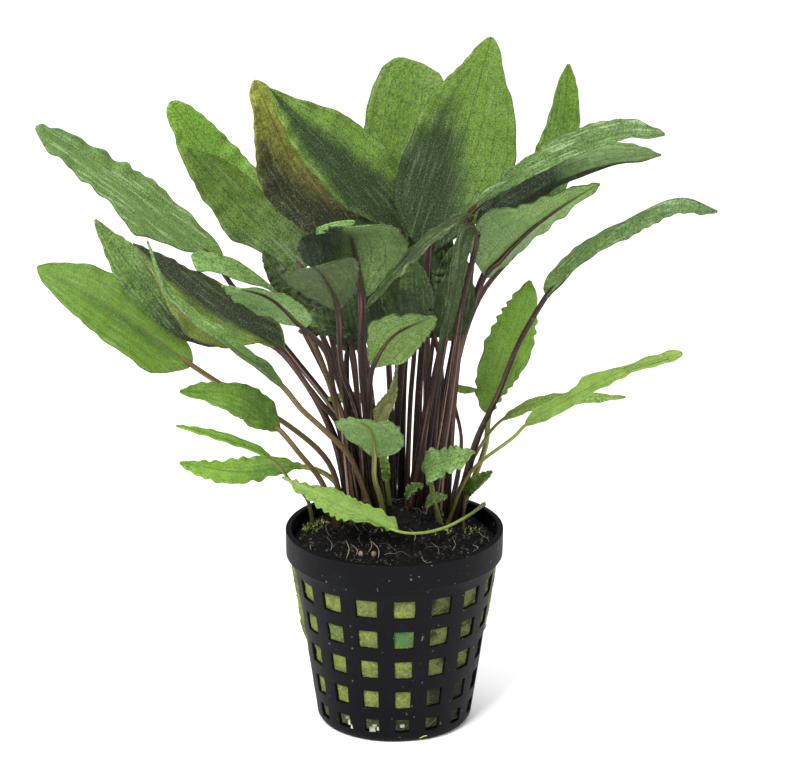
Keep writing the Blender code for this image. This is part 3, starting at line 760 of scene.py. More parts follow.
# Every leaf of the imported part, on the same line as its solid
LEAVES = [
    # On the left
    leaf("leaf_left_low_broad", [(-13, 9), (-16, 7, 63), (-25, 4, 74), (-45, 2, 88)],
         [(-52, 2, 93), (-70, 4, 106), (-89, 8, 116)], 17.5, (0.25, -0.8, 0.5), "bright", fold=10,
         base=0.6, tip=0.8, lobe=1.8, left=(0.9, 1.29, 1.05, 1.0, 0.95, 0.93, 1.0, 1.23),
         right=(0.9, 0.8, 0.6, 0.65, 0.91, 1.04, 1.09, 1.1), teeth=0.1,
         dark=(-0.1, 0.35, 0, 0.5, -0.1, 0.35), tint=(0, 0.3, 0, 0.35, 0, 0.16), veins=0.15, cross=0.12,
         speckle=0.4, tone=0.58, rib=0.25, stalk_kind="brown"),
    leaf("leaf_left_dark", [(-11, 13), (-15, 10, 69), (-24, 7, 88), (-33, 3, 98)],
         [(-49, 1, 98.5), (-63, 2, 114.5), (-74, 4, 129.5)], 15, (0.3, -0.8, 0.5), "deep", fold=15,
         base=0.9, tip=0.8, left=(0.42, 0.63, 0.67, 0.72, 0.75, 0.7, 0.65, 0.71),
         right=(0.15, 0.5, 0.57, 0.52, 0.57, 0.62, 0.47, 0.34), dark=(0.0, 0.85, 0, 0, 0, 1), streaks=0.3,
         tone=1.15),
    leaf("leaf_left_olive", [(-9.5, 9), (-14, 4, 75.5), (-18, 2, 81.5), (-23, 0, 89)],
         [(-28, -2, 97), (-46, -6, 110), (-64, -8, 127)], 17.5, (0.3, -0.75, 0.6), "olive", fold=15,
         base=0.9, tip=1.1, left=(0.15, 0.28, 0.87, 1.14, 1.32, 1.07, 0.83, 0.82),
         right=(2.14, 1.26, 0.85, 0.8, 0.76, 0.67, 0.73, 0.85), dark=(0.08, -0.1, 0.3, 1.25, 0.4, 0.8),
         tint=(0, 0, 0, 0.6, -0.9, 0.5), tone=0.95),
    leaf("leaf_left_folded", [(-5, 4), (-11, 0, 68), (-17, -3, 76), (-23, -6, 83)],
         [(-28, -9, 90.5), (-39, -14, 101.5), (-55, -17, 116), (-60, -17, 130.5)], 11, (0.6, -0.3, 0.6),
         "pale", fold=35, left=(1.3, 1.5, 1.3, 1.1, 1.0, 1.0, 0.9, 0.7),
         right=(0.7, 0.6, 0.5, 0.5, 0.5, 0.45, 0.4, 0.4), streaks=0.4, stalk_kind="brown"),
    leaf("leaf_left_short_bright", [(-14, 5), (-18, 0, 61), (-24, -4, 71)],
         [(-29, -6, 78), (-39, -10, 88), (-53, -12, 90)], 9, (0.2, -0.75, 0.6), "bright", fold=8, base=0.9,
         lobe=1.5, left=(0.85, 1.32, 1.54, 1.26, 1.13, 0.86, 0.63, 0.81),
         right=(2.2, 1.89, 1.29, 0.96, 0.69, 0.59, 0.78, 0.62), speckle=0.4, tone=0.62,
         stalk_kind="brown"),
    leaf("leaf_left_curled", [(-20.6, 10.6), (-22, 7, 54), (-26, -1, 62)],
         [(-31, -8, 71), (-41, -10, 76), (-54, -12, 81)], 4.5, (0.2, -0.3, 0.9), "bright", fold=30,
         stalk_radius=0.5, ruffle=0.2, teeth=0.03, speckle=0.4, stalk_kind="olive"),
    leaf("leaf_left_lowest", [(-13, 14), (-15, 12, 57)], [(-23, 10, 62), (-39, 6, 62), (-54, 2, 66)], 8,
         (0.1, -0.7, 0.7), "bright", fold=8, base=0.9, tip=0.45, stalk_radius=0.7,
         left=(0.85, 0.87, 0.79, 0.79, 0.88, 0.87, 0.75, 0.15),
         right=(1.67, 1.58, 1.43, 1.2, 0.91, 0.59, 0.45, 0.36), teeth=0.4, tooth_count=9, speckle=0.3,
         stalk_kind="olive"),
    leaf("leaf_left_upper_long", [(-6, 17), (-11, 17, 67), (-27, 16, 91), (-41, 15, 109)],
         [(-46, 14, 117), (-55, 12, 125), (-67, 9, 136), (-88, 3, 153.5)], 14.5, (0.3, -0.6, 0.75), "pale",
         fold=15, base=0.7, tip=0.6, lobe=5, left=(0.15, 0.9, 1.47, 1.84, 1.19, 1.11, 1.09, 1.65),
         right=(2.02, 1.19, 1.08, 0.95, 0.78, 0.74, 0.77, 0.94), ruffle=0.45, waves=6, teeth=0.5,
         tooth_count=10, dark=(-0.2, 0.3, 0.55, 0, 0, 1), veins=0.25, streaks=0.55, tone=0.7, rib=0.2),
    leaf("leaf_left_arched", [(-8, 12), (-13, 10, 72), (-20, 6, 96)],
         [(-28, 2, 110), (-38, 0, 117), (-50, -2, 122)], 12, (0.2, -0.5, 0.8), "pale", fold=20, base=0.9,
         tip=0.25, left=(0.15, 0.23, 0.62, 0.82, 0.81, 0.68, 0.84, 1.52),
         right=(0.15, 0.29, 0.42, 0.5, 0.52, 0.46, 0.39, 0.23), ruffle=0.1, teeth=0.05, tone=0.95,
         stalk_kind="brown"),
    leaf("leaf_front_fallen", [(22.9, 14.3), (19, 4, 51.3), (13, -4, 51), (6, -11, 52)],
         [(0, -14, 54), (-12, -12, 60), (-28, -8, 66)], 8, (0.1, -0.85, 0.5), "fresh", fold=6, base=0.65,
         tip=1.1, stalk_radius=0.42, left=(0.15, 0.21, 0.58, 1.01, 1.11, 1.08, 1.25, 1.33),
         right=(1.65, 1.0, 0.68, 0.57, 0.73, 0.53, 0.4, 0.31), teeth=0.45, tooth_count=12, speckle=0.25,
         tone=0.66, rib=0, stalk_kind="green", foot_rise=5.6),
    # In front
    leaf("leaf_mid_left_nodding", [(-10, 5.5), (-13, 0, 79), (-15, -4, 87), (-17, -7, 98.5)],
         [(-23, -9, 106), (-31, -12, 114.5), (-42, -18, 119.5)], 16, (-0.3, 0.3, 0.9), "pale", fold=10,
         base=0.7, tip=1.05, left=(1.57, 0.84, 0.66, 0.44, 0.32, 0.24, 0.15, 0.15),
         right=(0.15, 1.04, 1.23, 1.37, 1.26, 1.23, 1.04, 0.19), tone=1.15),
    leaf("leaf_front_left_nodding", [(-7.2, 6), (-9, 1, 78), (-13, -4, 93)],
         [(-14, -12.5, 112), (-17.5, -22.5, 123.5), (-19.5, -30, 128)], 19.5, (-0.2, 0.6, 0.8), "deep",
         fold=10, base=0.7, tip=0.5, left=(0.9, 0.9, 0.9, 0.9, 0.95, 1.0, 1.0, 1.0),
         right=(0.9, 0.9, 0.9, 0.9, 0.95, 1.0, 1.0, 1.0), dark=(-0.2, 0.2, 0, 0, 0, 1), veins=0.7,
         cross=0.5, tone=0.5, rib=0.9),
    leaf("leaf_front_centre_large", [(-4.5, 11), (-7.5, -2, 86.5), (-8, -5, 96)],
         [(-8, -12, 115.5), (-10, -18, 130.5), (-12, -28, 137.5)], 28, (0.1, 0.6, 0.8), "deep", fold=10,
         base=0.25, tip=0.25, stalk_radius=1.1, left=(0.28, 0.53, 0.87, 0.95, 0.9, 0.89, 0.94, 1.35),
         right=(0.7, 0.91, 1.1, 0.99, 0.69, 0.4, 0.39, 0.3), dark=(-0.2, 0.1, 0, 1.4, 0.75, 0.9),
         veins=0.7, cross=0.5, tone=0.93, rib=0.9),
    leaf("leaf_front_centre_small", [(-4, 7.5), (-6, -6, 80.5), (-6, -10, 91)],
         [(-5, -12, 97), (0, -16, 106), (10, -22, 113)], 15, (0.2, 0.7, 0.6), "bright", fold=10, base=0.9,
         tip=0.95, left=(2.07, 1.68, 1.24, 1.05, 0.95, 0.89, 0.92, 1.11),
         right=(0.97, 0.72, 0.76, 0.91, 0.8, 0.8, 0.69, 0.54), dark=(-0.2, 0.3, 0.35, 0, 0, 1), veins=1.0,
         cross=0.6, tone=0.68, rib=1.0),
    leaf("leaf_front_low", [(-2.5, 4), (-3.5, 0.5, 57), (-5, -3, 64)],
         [(-5, -5, 71), (-6, -12, 80), (-11, -20, 86)], 17.5, (0.1, 0.7, 0.8), "pale", fold=8, base=0.55,
         tip=0.7, left=(1.69, 1.18, 0.92, 0.82, 0.78, 0.56, 0.34, 0.33),
         right=(0.38, 0.74, 0.96, 0.97, 1.01, 0.93, 0.71, 0.54), veins=0.5, tone=1.15, stalk_kind="olive"),
    # In the middle
    leaf("leaf_centre_brownish", [(-1, 12), (-3, 7.5, 66)],
         [(-4.2, 1, 76.8), (-2.8, 1, 80.3), (-0.4, 2, 84.8), (0.6, 3, 91.8)], 5.5, (-0.2, -1, 0.1),
         "rolled", fold=40, base=0.35, tip=1.6, stalk_radius=0.6, tone=0.8),
    leaf("leaf_young_rolled", [(-1, 8)], [(-2, 6, 60), (-3, 4, 67), (-3, 3, 70)], 3, (0, -1, 0), "fresh",
         fold=30, stalk_radius=0.6, tone=0.72, stalk_kind="olive"),
    leaf("leaf_right_curly", [(12, 5), (10, 2, 56)],
         [(9, 0, 62), (8, -3, 66), (13.5, -6, 69.5), (20, -8, 72.5)], 8, (0.2, -0.8, 0.6), "pale", fold=8,
         stalk_radius=0.7, ruffle=1.5, waves=3, teeth=0.45, tooth_count=9, tone=0.85, stalk_kind="olive"),
    leaf("leaf_right_small_dark", [(17.5, 6)], [(18, 5, 56), (20, 3, 60), (24.5, 1, 64)], 3.2,
         (0.2, -0.8, 0.5), "mid", fold=8, stalk_radius=0.35, tone=0.95, stalk_kind="brown"),
    # Its dark zone over the whole blade and its low tone are painted shade: it lies deep behind other leaves.
    leaf("leaf_inner_dark", [(6, 9), (8, 4, 82)], [(8, 0, 105), (6, -1, 107), (5, -4, 115), (5, -6, 122)],
         9, (0, -0.9, 0.2), "deep", fold=8, dark=(0.4, 0.3, 0, 0, 0, 1), tone=0.75),
    leaf("leaf_inner_left", [(-6, 13), (-11, 9, 72), (-12, 6, 92)],
         [(-11, 4, 101), (-16, 0, 104), (-22, -4, 106)], 9, (0, -0.7, 0.7), "deep", fold=8,
         dark=(0.5, 0.3, 0, 0, 0, 1)),
    leaf("leaf_inner_thin", [(-2.5, 13), (-3, 14, 65)], [(-6, 15, 78), (-11, 16, 78), (-17, 16, 78.5)], 5,
         (0, -0.3, 0.9), "mid", fold=10, stalk_radius=0.6),
    # On the right
    leaf("leaf_right_low_bright", [(13, 6), (19, 0, 64), (30, -6, 76)],
         [(33, -8, 80), (43, -10, 87), (56, -12, 95), (71, -12, 100)], 5.4, (-0.2, -0.7, 0.7), "fresh",
         fold=10, base=0.6, tip=0.45, stalk_radius=0.45, left=(2.4, 1.4, 0.8, 1.3, 0.8, 0.5, 0.8, 1.2),
         right=(1.0, 1.3, 1.05, 0.6, 0.7, 0.45, 0.6, 1.1), ruffle=0.3, teeth=0.2, tooth_count=8,
         speckle=0.1, tone=0.64, stalk_kind="olive"),
    leaf("leaf_right_low_behind", [(14, 12), (17, 11, 57), (23, 9, 70)],
         [(28, 8, 76), (38, 6, 81), (58, 4, 83)], 4.2, (-0.1, -0.5, 0.8), "fresh", fold=10,
         stalk_radius=0.42, ruffle=0.25, tone=0.75, stalk_kind="olive"),
    leaf("leaf_right_arching", [(15, 9), (20, 6, 69), (26, 3, 84), (31, 1, 98), (37, -1, 110)],
         [(39, -2, 113), (51, -4, 127), (61, -6, 134.5), (70, -8, 138.5), (79, -10, 136)], 10,
         (-0.45, -0.2, 0.85), "pale", folds=(30, -25, -40), base=0.4, lobe=3,
         left=(1.6, 1.5, 1.35, 1.15, 1.0, 1.15, 1.5, 1.8),
         right=(0.3, 0.45, 0.65, 0.85, 1.0, 1.1, 1.35, 1.5), ruffle=0.15, teeth=0.25, tooth_count=12,
         dark=(0.2, 0.2, 0.25, 0, 0, 1), streaks=0.4, tone=0.6),
    leaf("leaf_right_upright", [(16, 13), (19, 12, 55), (23, 11, 67)],
         [(24, 10, 77), (28, 10, 91), (32, 11, 104), (34, 12, 111)], 12.5, (-0.2, -0.9, 0.2), "bright",
         fold=8, right=(0.3, 0.45, 0.7, 0.9, 1.0, 1.0, 1.0, 1.0), teeth=0.4, tooth_count=10, speckle=0.45,
         tone=0.82, rib=0.2, stalk_kind="olive"),
    leaf("leaf_right_upper_long", [(8, 14), (11, 12, 85), (16, 9, 115)],
         [(19, 5, 131), (29, 4, 139.5), (41, 1, 147), (55, -2, 153), (66, -5, 154)], 9.5,
         (-0.4, -0.6, 0.7), "pale", fold=20, base=1.1, tip=0.7, stalk_radius=1.0,
         right=(1.0, 1.0, 0.9, 0.75, 0.55, 0.5, 0.5, 0.6), ruffle=0.3, teeth=0.3, streaks=0.6, tone=0.6,
         stalk_kind="russet"),
    leaf("leaf_front_narrow", [(4, 9), (9, 1.5, 83), (14.5, 0.5, 114)],
         [(18.7, -0.2, 131), (11, -11, 131), (1, -22.5, 125), (-7, -29, 117.5)], 5, (-0.4, -0.6, 0.7),
         "deep", fold=8, streaks=0.4, tone=0.4),
    leaf("leaf_front_drooping", [(9, 7), (13, 2, 77), (17, -1, 110)],
         [(20.5, -5, 128), (17.5, -11, 130.5), (15.5, -14.5, 122), (13.5, -16, 111), (11, -17, 102.5)],
         4.4, (0.3, -0.9, 0), "deep", fold=15, tone=0.3),
    # Its dark zone is near black: a painted shadow over the base and the lower half of the blade.
    leaf("leaf_right_upper_folded", [(10, 17), (14, 17, 83), (19, 16, 110)],
         [(21, 15, 121), (31, 13, 131), (49, 10, 142), (66, 8, 145)], 14, (-0.4, -0.5, 0.8), "shaded",
         fold=30, dark=(-0.3, 2.6, -0.6, 1.4, 1.0, 0.5), streaks=0.05, speckle=0.2, tone=0.62),
    leaf("leaf_right_upper_underside", [(13, 15), (16, 8, 93), (19, 6, 104), (22, 5, 114)],
         [(24, 4, 117), (33, 8, 125), (42, 11, 131), (51, 13, 136)], 18, (-0.4, 0.7, 0.6), "mid", fold=10,
         base=0.42, lobe=3, stalk_radius=1.0, right=(3.8, 2.5, 1.55, 1.1, 0.95, 0.9, 0.9, 1.0), tone=1.3,
         rib=0.25),
    # At the back
    leaf("leaf_back_right", [(12, 19), (14.5, 24, 76), (21.5, 31, 100)],
         [(37, 38, 119), (42.5, 42, 141), (44, 42, 159)], 11, (-0.2, -0.9, 0.1), "bright", fold=10,
         left=(1.6, 1.5, 1.3, 1.1, 0.9, 0.85, 0.9, 1.0), right=(0.8, 0.8, 0.8, 0.85, 0.9, 0.95, 1.0, 1.1),
         dark=(0.35, 0, 0, 0, 0, 1), tone=0.72, stalk_kind="russet"),
    leaf("leaf_tall_centre", [(5, 15), (6, 17, 77), (8, 18, 104)],
         [(9, 18, 119), (17, 20, 145), (24, 19, 172)], 26, (-0.1, -0.95, 0.1), "mid", fold=10, base=0.8,
         tip=0.55, lobe=3, stalk_radius=1.0, left=(1.9, 1.75, 1.35, 1.07, 0.95, 0.78, 0.52, 0.38),
         right=(1.2, 1.35, 1.37, 1.23, 1.02, 0.83, 0.57, 0.47), dark=(0.0, 0.95, -1.0, 0.85, -0.55, 1.1),
         cross=0.6, speckle=0.85, tone=0.85),
    leaf("leaf_tall_behind", [(2, 18), (1, 22, 76), (1, 26, 101)],
         [(1, 28, 118), (2.5, 32, 139), (4.5, 34, 155), (7, 35, 161)], 22, (0, -0.95, 0.2), "mid", fold=10,
         tip=0.3, stalk_radius=1.0, dark=(-0.1, 0.6, -0.5, 0, 0, 1), cross=0.2, tone=0.82, rib=0.15),
    leaf("leaf_tall_left", [(-1, 15), (1, 18, 77), (3, 20, 103)],
         [(2, 20, 120), (-12, 17, 139.5), (-31, 12, 161)], 20, (0.4, -0.8, 0.4), "mid", fold=10, base=0.9,
         tip=1.05, lobe=2.5, stalk_radius=1.0, left=(0.15, 0.71, 0.9, 0.92, 0.93, 1.03, 1.06, 1.03),
         right=(1.2, 1.4, 1.19, 1.05, 0.99, 0.9, 0.73, 0.77), dark=(-0.2, 0.8, -0.2, 1.1, -0.25, 0.95),
         cross=0.5, speckle=0.85, tone=0.88),
    leaf("leaf_tall_yellow", [(-4, 17), (-6, 22, 76), (-10, 26, 101)],
         [(-13, 28, 119), (-25, 28, 136), (-35, 26, 159)], 20, (0.3, -0.9, 0.3), "yellow", fold=8,
         base=0.7, tip=0.65, lobe=4, stalk_radius=1.0, left=(0.9, 1.3, 1.2, 1.13, 0.95, 0.72, 0.58, 0.75),
         right=(1.6, 1.5, 1.2, 1.0, 0.8, 0.7, 0.6, 0.7), dark=(-0.3, 1.2, -0.6, 0.9, -0.7, 0.8),
         tint=(0, 1.05, 0.25, 0, 0, 1), cross=0.5),
    leaf("leaf_back_left_bright", [(-5, 21), (-9, 28, 68), (-19, 36, 90)],
         [(-27, 42, 111), (-43, 46, 128), (-57, 46, 148)], 15, (0.3, -0.9, 0.3), "bright", fold=10,
         base=0.9, tip=0.45, left=(0.15, 0.15, 0.9, 1.02, 1.07, 0.94, 0.7, 0.72),
         right=(0.15, 1.18, 1.4, 1.14, 0.97, 0.82, 0.72, 0.6), tone=0.9),
    leaf("leaf_back_left_low", [(-6, 20), (-11, 26, 69), (-19, 32, 91)],
         [(-24, 36, 107), (-39, 38, 122), (-53, 36, 139)], 17, (0.3, -0.9, 0.3), "mid", fold=10, base=0.25,
         tip=0.4, left=(0.6, 0.66, 0.7, 0.96, 0.8, 0.81, 0.74, 0.47),
         right=(1.02, 1.08, 0.91, 0.82, 0.87, 0.85, 0.66, 0.16), dark=(0.15, 0.45, -0.1, 0, 0, 1),
         veins=0.5, tone=0.72),
    leaf("leaf_back_inner_small", [(4, 20), (8, 24, 75)], [(11, 26, 101), (12, 26, 108), (12, 24, 115)], 5,
         (0, -1, 0.1), "bright", fold=8, stalk_radius=0.6, tone=0.7),
    leaf("leaf_back_inner_strip", [(14, 19), (17, 18, 66)], [(15, 18, 80), (18, 18, 80), (21, 18, 80)], 3,
         (0, -0.3, 0.9), "fresh", fold=8, stalk_radius=0.5, ruffle=0.05, teeth=0.02, tone=0.85),
]

# Small dark leaves deep in the crown, their low tone painted shade that fills the crown: name, stalk, blade,
# width, face, tone
CROWN = (
    ("crown_a", [(3, 11), (4, 8, 80), (5, 5, 95)], [(5, 4, 101), (2, 3, 109), (-3, 2, 117)], 12,
     (0.1, -0.9, 0.3), 0.31),
    ("crown_b", [(7, 12), (10, 9, 80), (12, 7, 92)], [(13, 6, 98), (15, 5, 108), (17, 4, 119)], 11,
     (-0.1, -0.9, 0.2), 0.28),
    ("crown_c", [(-4, 12), (-6, 9, 78), (-8, 6, 90)], [(-9, 5, 96), (-12, 3, 103), (-17, 1, 110)], 11,
     (0.1, -0.9, 0.3), 0.28),
    ("crown_d", [(9, 13), (11, 12, 82), (13, 10, 98)], [(14, 9, 104), (15, 9, 112), (15, 8, 121)], 10,
     (-0.1, -0.9, 0.2), 0.31),
    ("crown_i", [(11, 16), (13, 18, 80), (15, 19, 92)], [(15.5, 19, 98), (16, 19, 106), (15, 18, 114)], 7,
     (-0.1, -0.9, 0.2), 0.31),
    ("crown_j", [(9, 17), (12, 19, 76), (11.5, 20, 88)], [(10, 20, 94), (10, 19, 103), (9, 18, 112)], 9,
     (0.0, -0.9, 0.2), 0.28),
    ("crown_k", [(2, 20), (2.4, 22, 76), (3, 23, 88)], [(4, 23, 94), (3, 22, 103), (2, 21, 112)], 10,
     (0.0, -0.9, 0.2), 0.31),
    ("crown_e", [(0, 14), (-1, 15, 80), (-2, 16, 96)], [(-3, 15, 103), (-5, 17, 114), (-7.5, 18, 127)], 17,
     (0.0, -0.95, 0.2), 0.34),
    ("crown_f", [(8, 18), (8, 20, 80), (8, 22, 98)], [(8, 24, 106), (7, 26, 118), (5, 28, 131)], 16,
     (0.0, -0.95, 0.2), 0.43),
    ("crown_g", [(-7, 8), (-9, 6, 76), (-10, 4, 92)], [(-11, 3, 98), (-12, 1, 106), (-13.5, -1, 116)], 12,
     (0.1, -0.9, 0.3), 0.26),
    ("crown_h", [(-1, 13), (-1, 10, 76), (-1.5, 7, 90)], [(-1.5, 6, 97), (-2.5, 4, 107), (-3.5, 3, 118)],
     13, (0.0, -0.9, 0.3), 0.26),
    ("crown_l", [(-7, 14), (-16, 18, 80), (-24, 20, 97)],
     [(-26.5, 20, 103), (-29, 20, 109), (-33, 20, 116)], 5.5, (0.1, -0.9, 0.2), 0.34),
    ("crown_m", [(-8, 9), (-12, 8, 78), (-15, 7, 94)], [(-18, 6, 103.5), (-22.5, 6, 106.5), (-28, 5, 111)],
     6, (0.1, -0.9, 0.3), 0.3),
    ("crown_n", [(-7, 9), (-9, 8, 78), (-10.5, 7, 92)], [(-12, 7, 100), (-17, 7, 100.5), (-24, 6, 99.5)],
     4.5, (0.1, -0.9, 0.3), 0.3),
)
CROWN_RIB = 0.3
# Smaller ones: two low between the stalks and one over a blade's edge
CROWN_SMALL = [
    leaf("crown_low_a", [(6, 3), (7, 1, 53)], [(8, 0, 55.5), (10, -2, 58), (13, -4, 59)], 2.6,
         (0.1, -0.8, 0.6), "deep", stalk_radius=0.25, teeth=0.4, tone=0.95),
    leaf("crown_low_b", [(4, 5), (3, 3, 54)], [(3, 2, 57), (4.5, 0, 60), (7, -2, 61.5)], 2.4,
         (0.0, -0.8, 0.6), "deep", stalk_radius=0.25, teeth=0.4, tone=1.05),
    leaf("crown_edge", [(-9, 8), (-15, 5, 98), (-19, 2, 120)],
         [(-18.8, -19, 133.6), (-14.5, -20, 135.2), (-9.5, -20, 136.4)], 2.2, (0.0, -0.7, 0.7), "pale",
         base=0.4, tip=0.5, stalk_radius=0.3, ruffle=0.05, teeth=0.02, tone=1.1),
]


# Pot

POT_STEPS = 4
POT_BEVEL = 0.22
BEVEL_ANGLE = 38.0
CORNER_SHARES = (0.35, 0.7)
FLOOR_EDGE = 0.4
RIM_STEP = 0.5
RIM_FILLET = 0.35
RIM_INNER_STEP = 1.2
RIM_DRAFT = 0.2
RIM_BOW = 0.08
WALL_UNEVEN = 0.16
PLASTIC = (6, 6, 9)
PLASTIC_FILM = (21, 26, 24)
PLASTIC_DUST = (110, 112, 104)


def body_radius(z):
    """Outer radius of the pot's tapered wall at height z."""
    return BASE_RADIUS + (BODY_TOP_RADIUS - BASE_RADIUS) * z / RIM_BOTTOM


def pot_levels():
    """Outer (radius, z), inner (radius, z) and whether holes pierce the band up to the next pair."""
    levels = [((radius, 0.0), (radius, BASE_THICKNESS), radius == SLOT_RING[0]) for radius in SLOT_RING]
    inner = BASE_RADIUS - POT_WALL
    levels.append(((BASE_RADIUS - BASE_CORNER, 0.0), (inner - FLOOR_EDGE, BASE_THICKNESS), False))
    for share in CORNER_SHARES:
        out = BASE_RADIUS - BASE_CORNER * (1 - math.sin(share * math.pi / 2))
        levels.append(((out, BASE_CORNER * (1 - math.cos(share * math.pi / 2))),
                       (inner - FLOOR_EDGE / 2, BASE_THICKNESS + 0.1), False))
    levels.append(((body_radius(BASE_CORNER), BASE_CORNER), (inner, BASE_THICKNESS + FLOOR_EDGE), False))
    rows = [BOTTOM_HOLE]
    for row in reversed(range(FULL_HOLE_ROWS)):
        middle = TOP_HOLE_ROW - row * HOLE_ROW_PITCH
        rows.append((middle - HOLE_HEIGHT / 2, middle + HOLE_HEIGHT / 2))
    for low, high in rows:
        for z, pierced in ((low, True), ((low + high) / 2, True), (high, False)):
            levels.append(((body_radius(z), z), (body_radius(z) - POT_WALL, z), pierced))
    top_inner = BODY_TOP_RADIUS - POT_WALL
    rim_inner = RIM_RADIUS - RIM_WALL
    middle = (RIM_BOTTOM + POT_HEIGHT) / 2
    for outside, inside in (
            ((BODY_TOP_RADIUS, RIM_BOTTOM - RIM_STEP), (top_inner, RIM_BOTTOM - RIM_STEP)),
            ((BODY_TOP_RADIUS + RIM_FILLET, RIM_BOTTOM), (top_inner, RIM_BOTTOM)),
            ((RIM_RADIUS - RIM_DRAFT, RIM_BOTTOM), (rim_inner - RIM_DRAFT, RIM_BOTTOM + RIM_INNER_STEP)),
            ((RIM_RADIUS - RIM_BOW, middle), (rim_inner - RIM_DRAFT / 2, middle)),
            ((RIM_RADIUS, POT_HEIGHT), (rim_inner, POT_HEIGHT))):
        levels.append((outside, inside, False))
    return levels


def ring_angles(radius):
    """Angles round the pot, POT_STEPS over each hole and POT_STEPS over the bar beside it."""
    pitch = TURN / HOLE_COLUMNS
    half = max(LEAST_HOLE_SHARE * pitch, pitch - BAR_WIDTH / radius) / 2
    angles = []
    for column in range(HOLE_COLUMNS):
        middle = column * pitch + math.radians(FRONT_HOLE)
        angles += list(np.linspace(middle - half, middle + half, POT_STEPS, endpoint=False))
        angles += list(np.linspace(middle + half, middle + pitch - half, POT_STEPS, endpoint=False))
    return angles


def warped(radius, angle, z):
    """The moulded wall's slight unevenness."""
    place = Vector((math.cos(angle) * 1.7, math.sin(angle) * 1.7, z * 0.06))
    return radius + WALL_UNEVEN * noise.noise(place) * min(1.0, radius / BASE_RADIUS)


def pot_faces(levels, count):
    """The pot's faces: its two skins, the sides of its holes, its middle and its top edge."""
    def at(level, inside, j):
        return (2 * level + inside) * count + j % count

    def pierced(band, j):
        return 0 <= band < len(levels) and levels[band][2] and j % (2 * POT_STEPS) < POT_STEPS

    faces = []
    for band in range(len(levels) - 1):
        above = band + 1
        for j in range(count):
            if not pierced(band, j):
                faces.append((at(band, 0, j), at(band, 0, j + 1), at(above, 0, j + 1), at(above, 0, j)))
                faces.append((at(band, 1, j + 1), at(band, 1, j), at(above, 1, j), at(above, 1, j + 1)))
                continue
            if not pierced(band - 1, j):
                faces.append((at(band, 0, j), at(band, 0, j + 1), at(band, 1, j + 1), at(band, 1, j)))
            if not pierced(above, j):
                faces.append((at(above, 0, j + 1), at(above, 0, j), at(above, 1, j), at(above, 1, j + 1)))
            for side, step in ((-1, 0), (1, 1)):
                if not pierced(band, (j + side) % count):
                    k = j + step
                    faces.append((at(band, 0, k), at(above, 0, k), at(above, 1, k), at(band, 1, k)))
    top = len(levels) - 1
    centre = 2 * len(levels) * count
    for j in range(count):
        faces.append((centre, at(0, 0, j + 1), at(0, 0, j)))
        faces.append((centre + 1, at(0, 1, j), at(0, 1, j + 1)))
        faces.append((at(top, 0, j), at(top, 0, j + 1), at(top, 1, j + 1), at(top, 1, j)))
    return faces


def make_pot():
    """The moulded pot: black, with a faint film and specks of dust."""
    mat, shader, sh = new_material("pot_plastic")
    place = sh.place()
    cloud = sh.noise(place, 160.0, 4.0, 0.6)
    fine = sh.noise(place, 1500.0, 3.0, 0.6)
    dust = sh.fade(sh.noise(place, 900.0, 1.0), 0.73, 0.77)
    colour = sh.mix(sh.fade(cloud, 0.5, 0.8, 0.0, 0.35), screen(*PLASTIC), screen(*PLASTIC_FILM))
    colour = sh.mix(sh.times(dust, 0.5), colour, screen(*PLASTIC_DUST))
    height = sh.plus(sh.times(fine, 0.4), sh.times(cloud, 1.2))
    sh.dress(shader, colour, sh.plus(0.45, sh.times(cloud, 0.25)), 0.09, sh.bump(height, 0.25, 0.0003))
    levels = pot_levels()
    verts = []
    for outer, inner, _ in levels:
        for radius, z in (outer, inner):
            verts += [ring_point(warped(radius, angle, z), angle, z) for angle in ring_angles(outer[0])]
    count = len(ring_angles(BASE_RADIUS))
    verts += [(0, 0, 0), (0, 0, BASE_THICKNESS)]
    pot = mesh_object("pot_moulded", verts, pot_faces(levels, count), mat)
    shape = bmesh.new()
    shape.from_mesh(pot.data)
    bmesh.ops.recalc_face_normals(shape, faces=shape.faces[:])
    shape.to_mesh(pot.data)
    shape.free()
    bevel = pot.modifiers.new("soft_edges", "BEVEL")
    bevel.width = POT_BEVEL * MM
    bevel.segments = 2
    bevel.limit_method = "ANGLE"
    bevel.angle_limit = math.radians(BEVEL_ANGLE)
    bevel.harden_normals = True
    bevel.use_clamp_overlap = False
    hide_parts("net_pot")


# Mineral wool

WOOL_SIDES = 240
WOOL_ROWS = 84
WOOL_INSET = 0.75
WOOL_LUMPS = 0.3
WOOL_ROUGHNESS = 0.16
FIBRES = 900
FIBRE_STEPS = 6
FIBRE_LOWEST = 3.5
WOOL = (118, 127, 60)
WOOL_GREEN = (84, 98, 51)
WOOL_DEEP = (64, 78, 34)
WOOL_LIGHT = (152, 158, 94)
WOOL_SPOT = (58, 100, 54)
WOOL_SOAKED = (22, 24, 20)
WOOL_FIBRE = (176, 180, 110)
GREEN_SPOT = (1.9, -23.0, 29.5)
SPOT_REACH = (4.2, 1.2)
SOAKED_SIDE = (6.0, 10.0)
SOAKED_LOW = (18.5, 14.5)
SOAKED_FOOT = (8.5, 6.5)
SOAKED_FRONT = (-2.0, -4.0)
STRIP_ANGLES = (-174.0, 6.0)
STRIP_HALF = 5.5
STRIP_BULGE = 1.5
STRIP_FROM = 16.0
PALE_BITS = ((-128, 5.6), (-125, 4.4), (-122, 3.6), (-105, 4.6), (-102, 3.9), (-107, 3.6), (-84, 4.8))
PALE_SIZES = (0.85, 1.4)


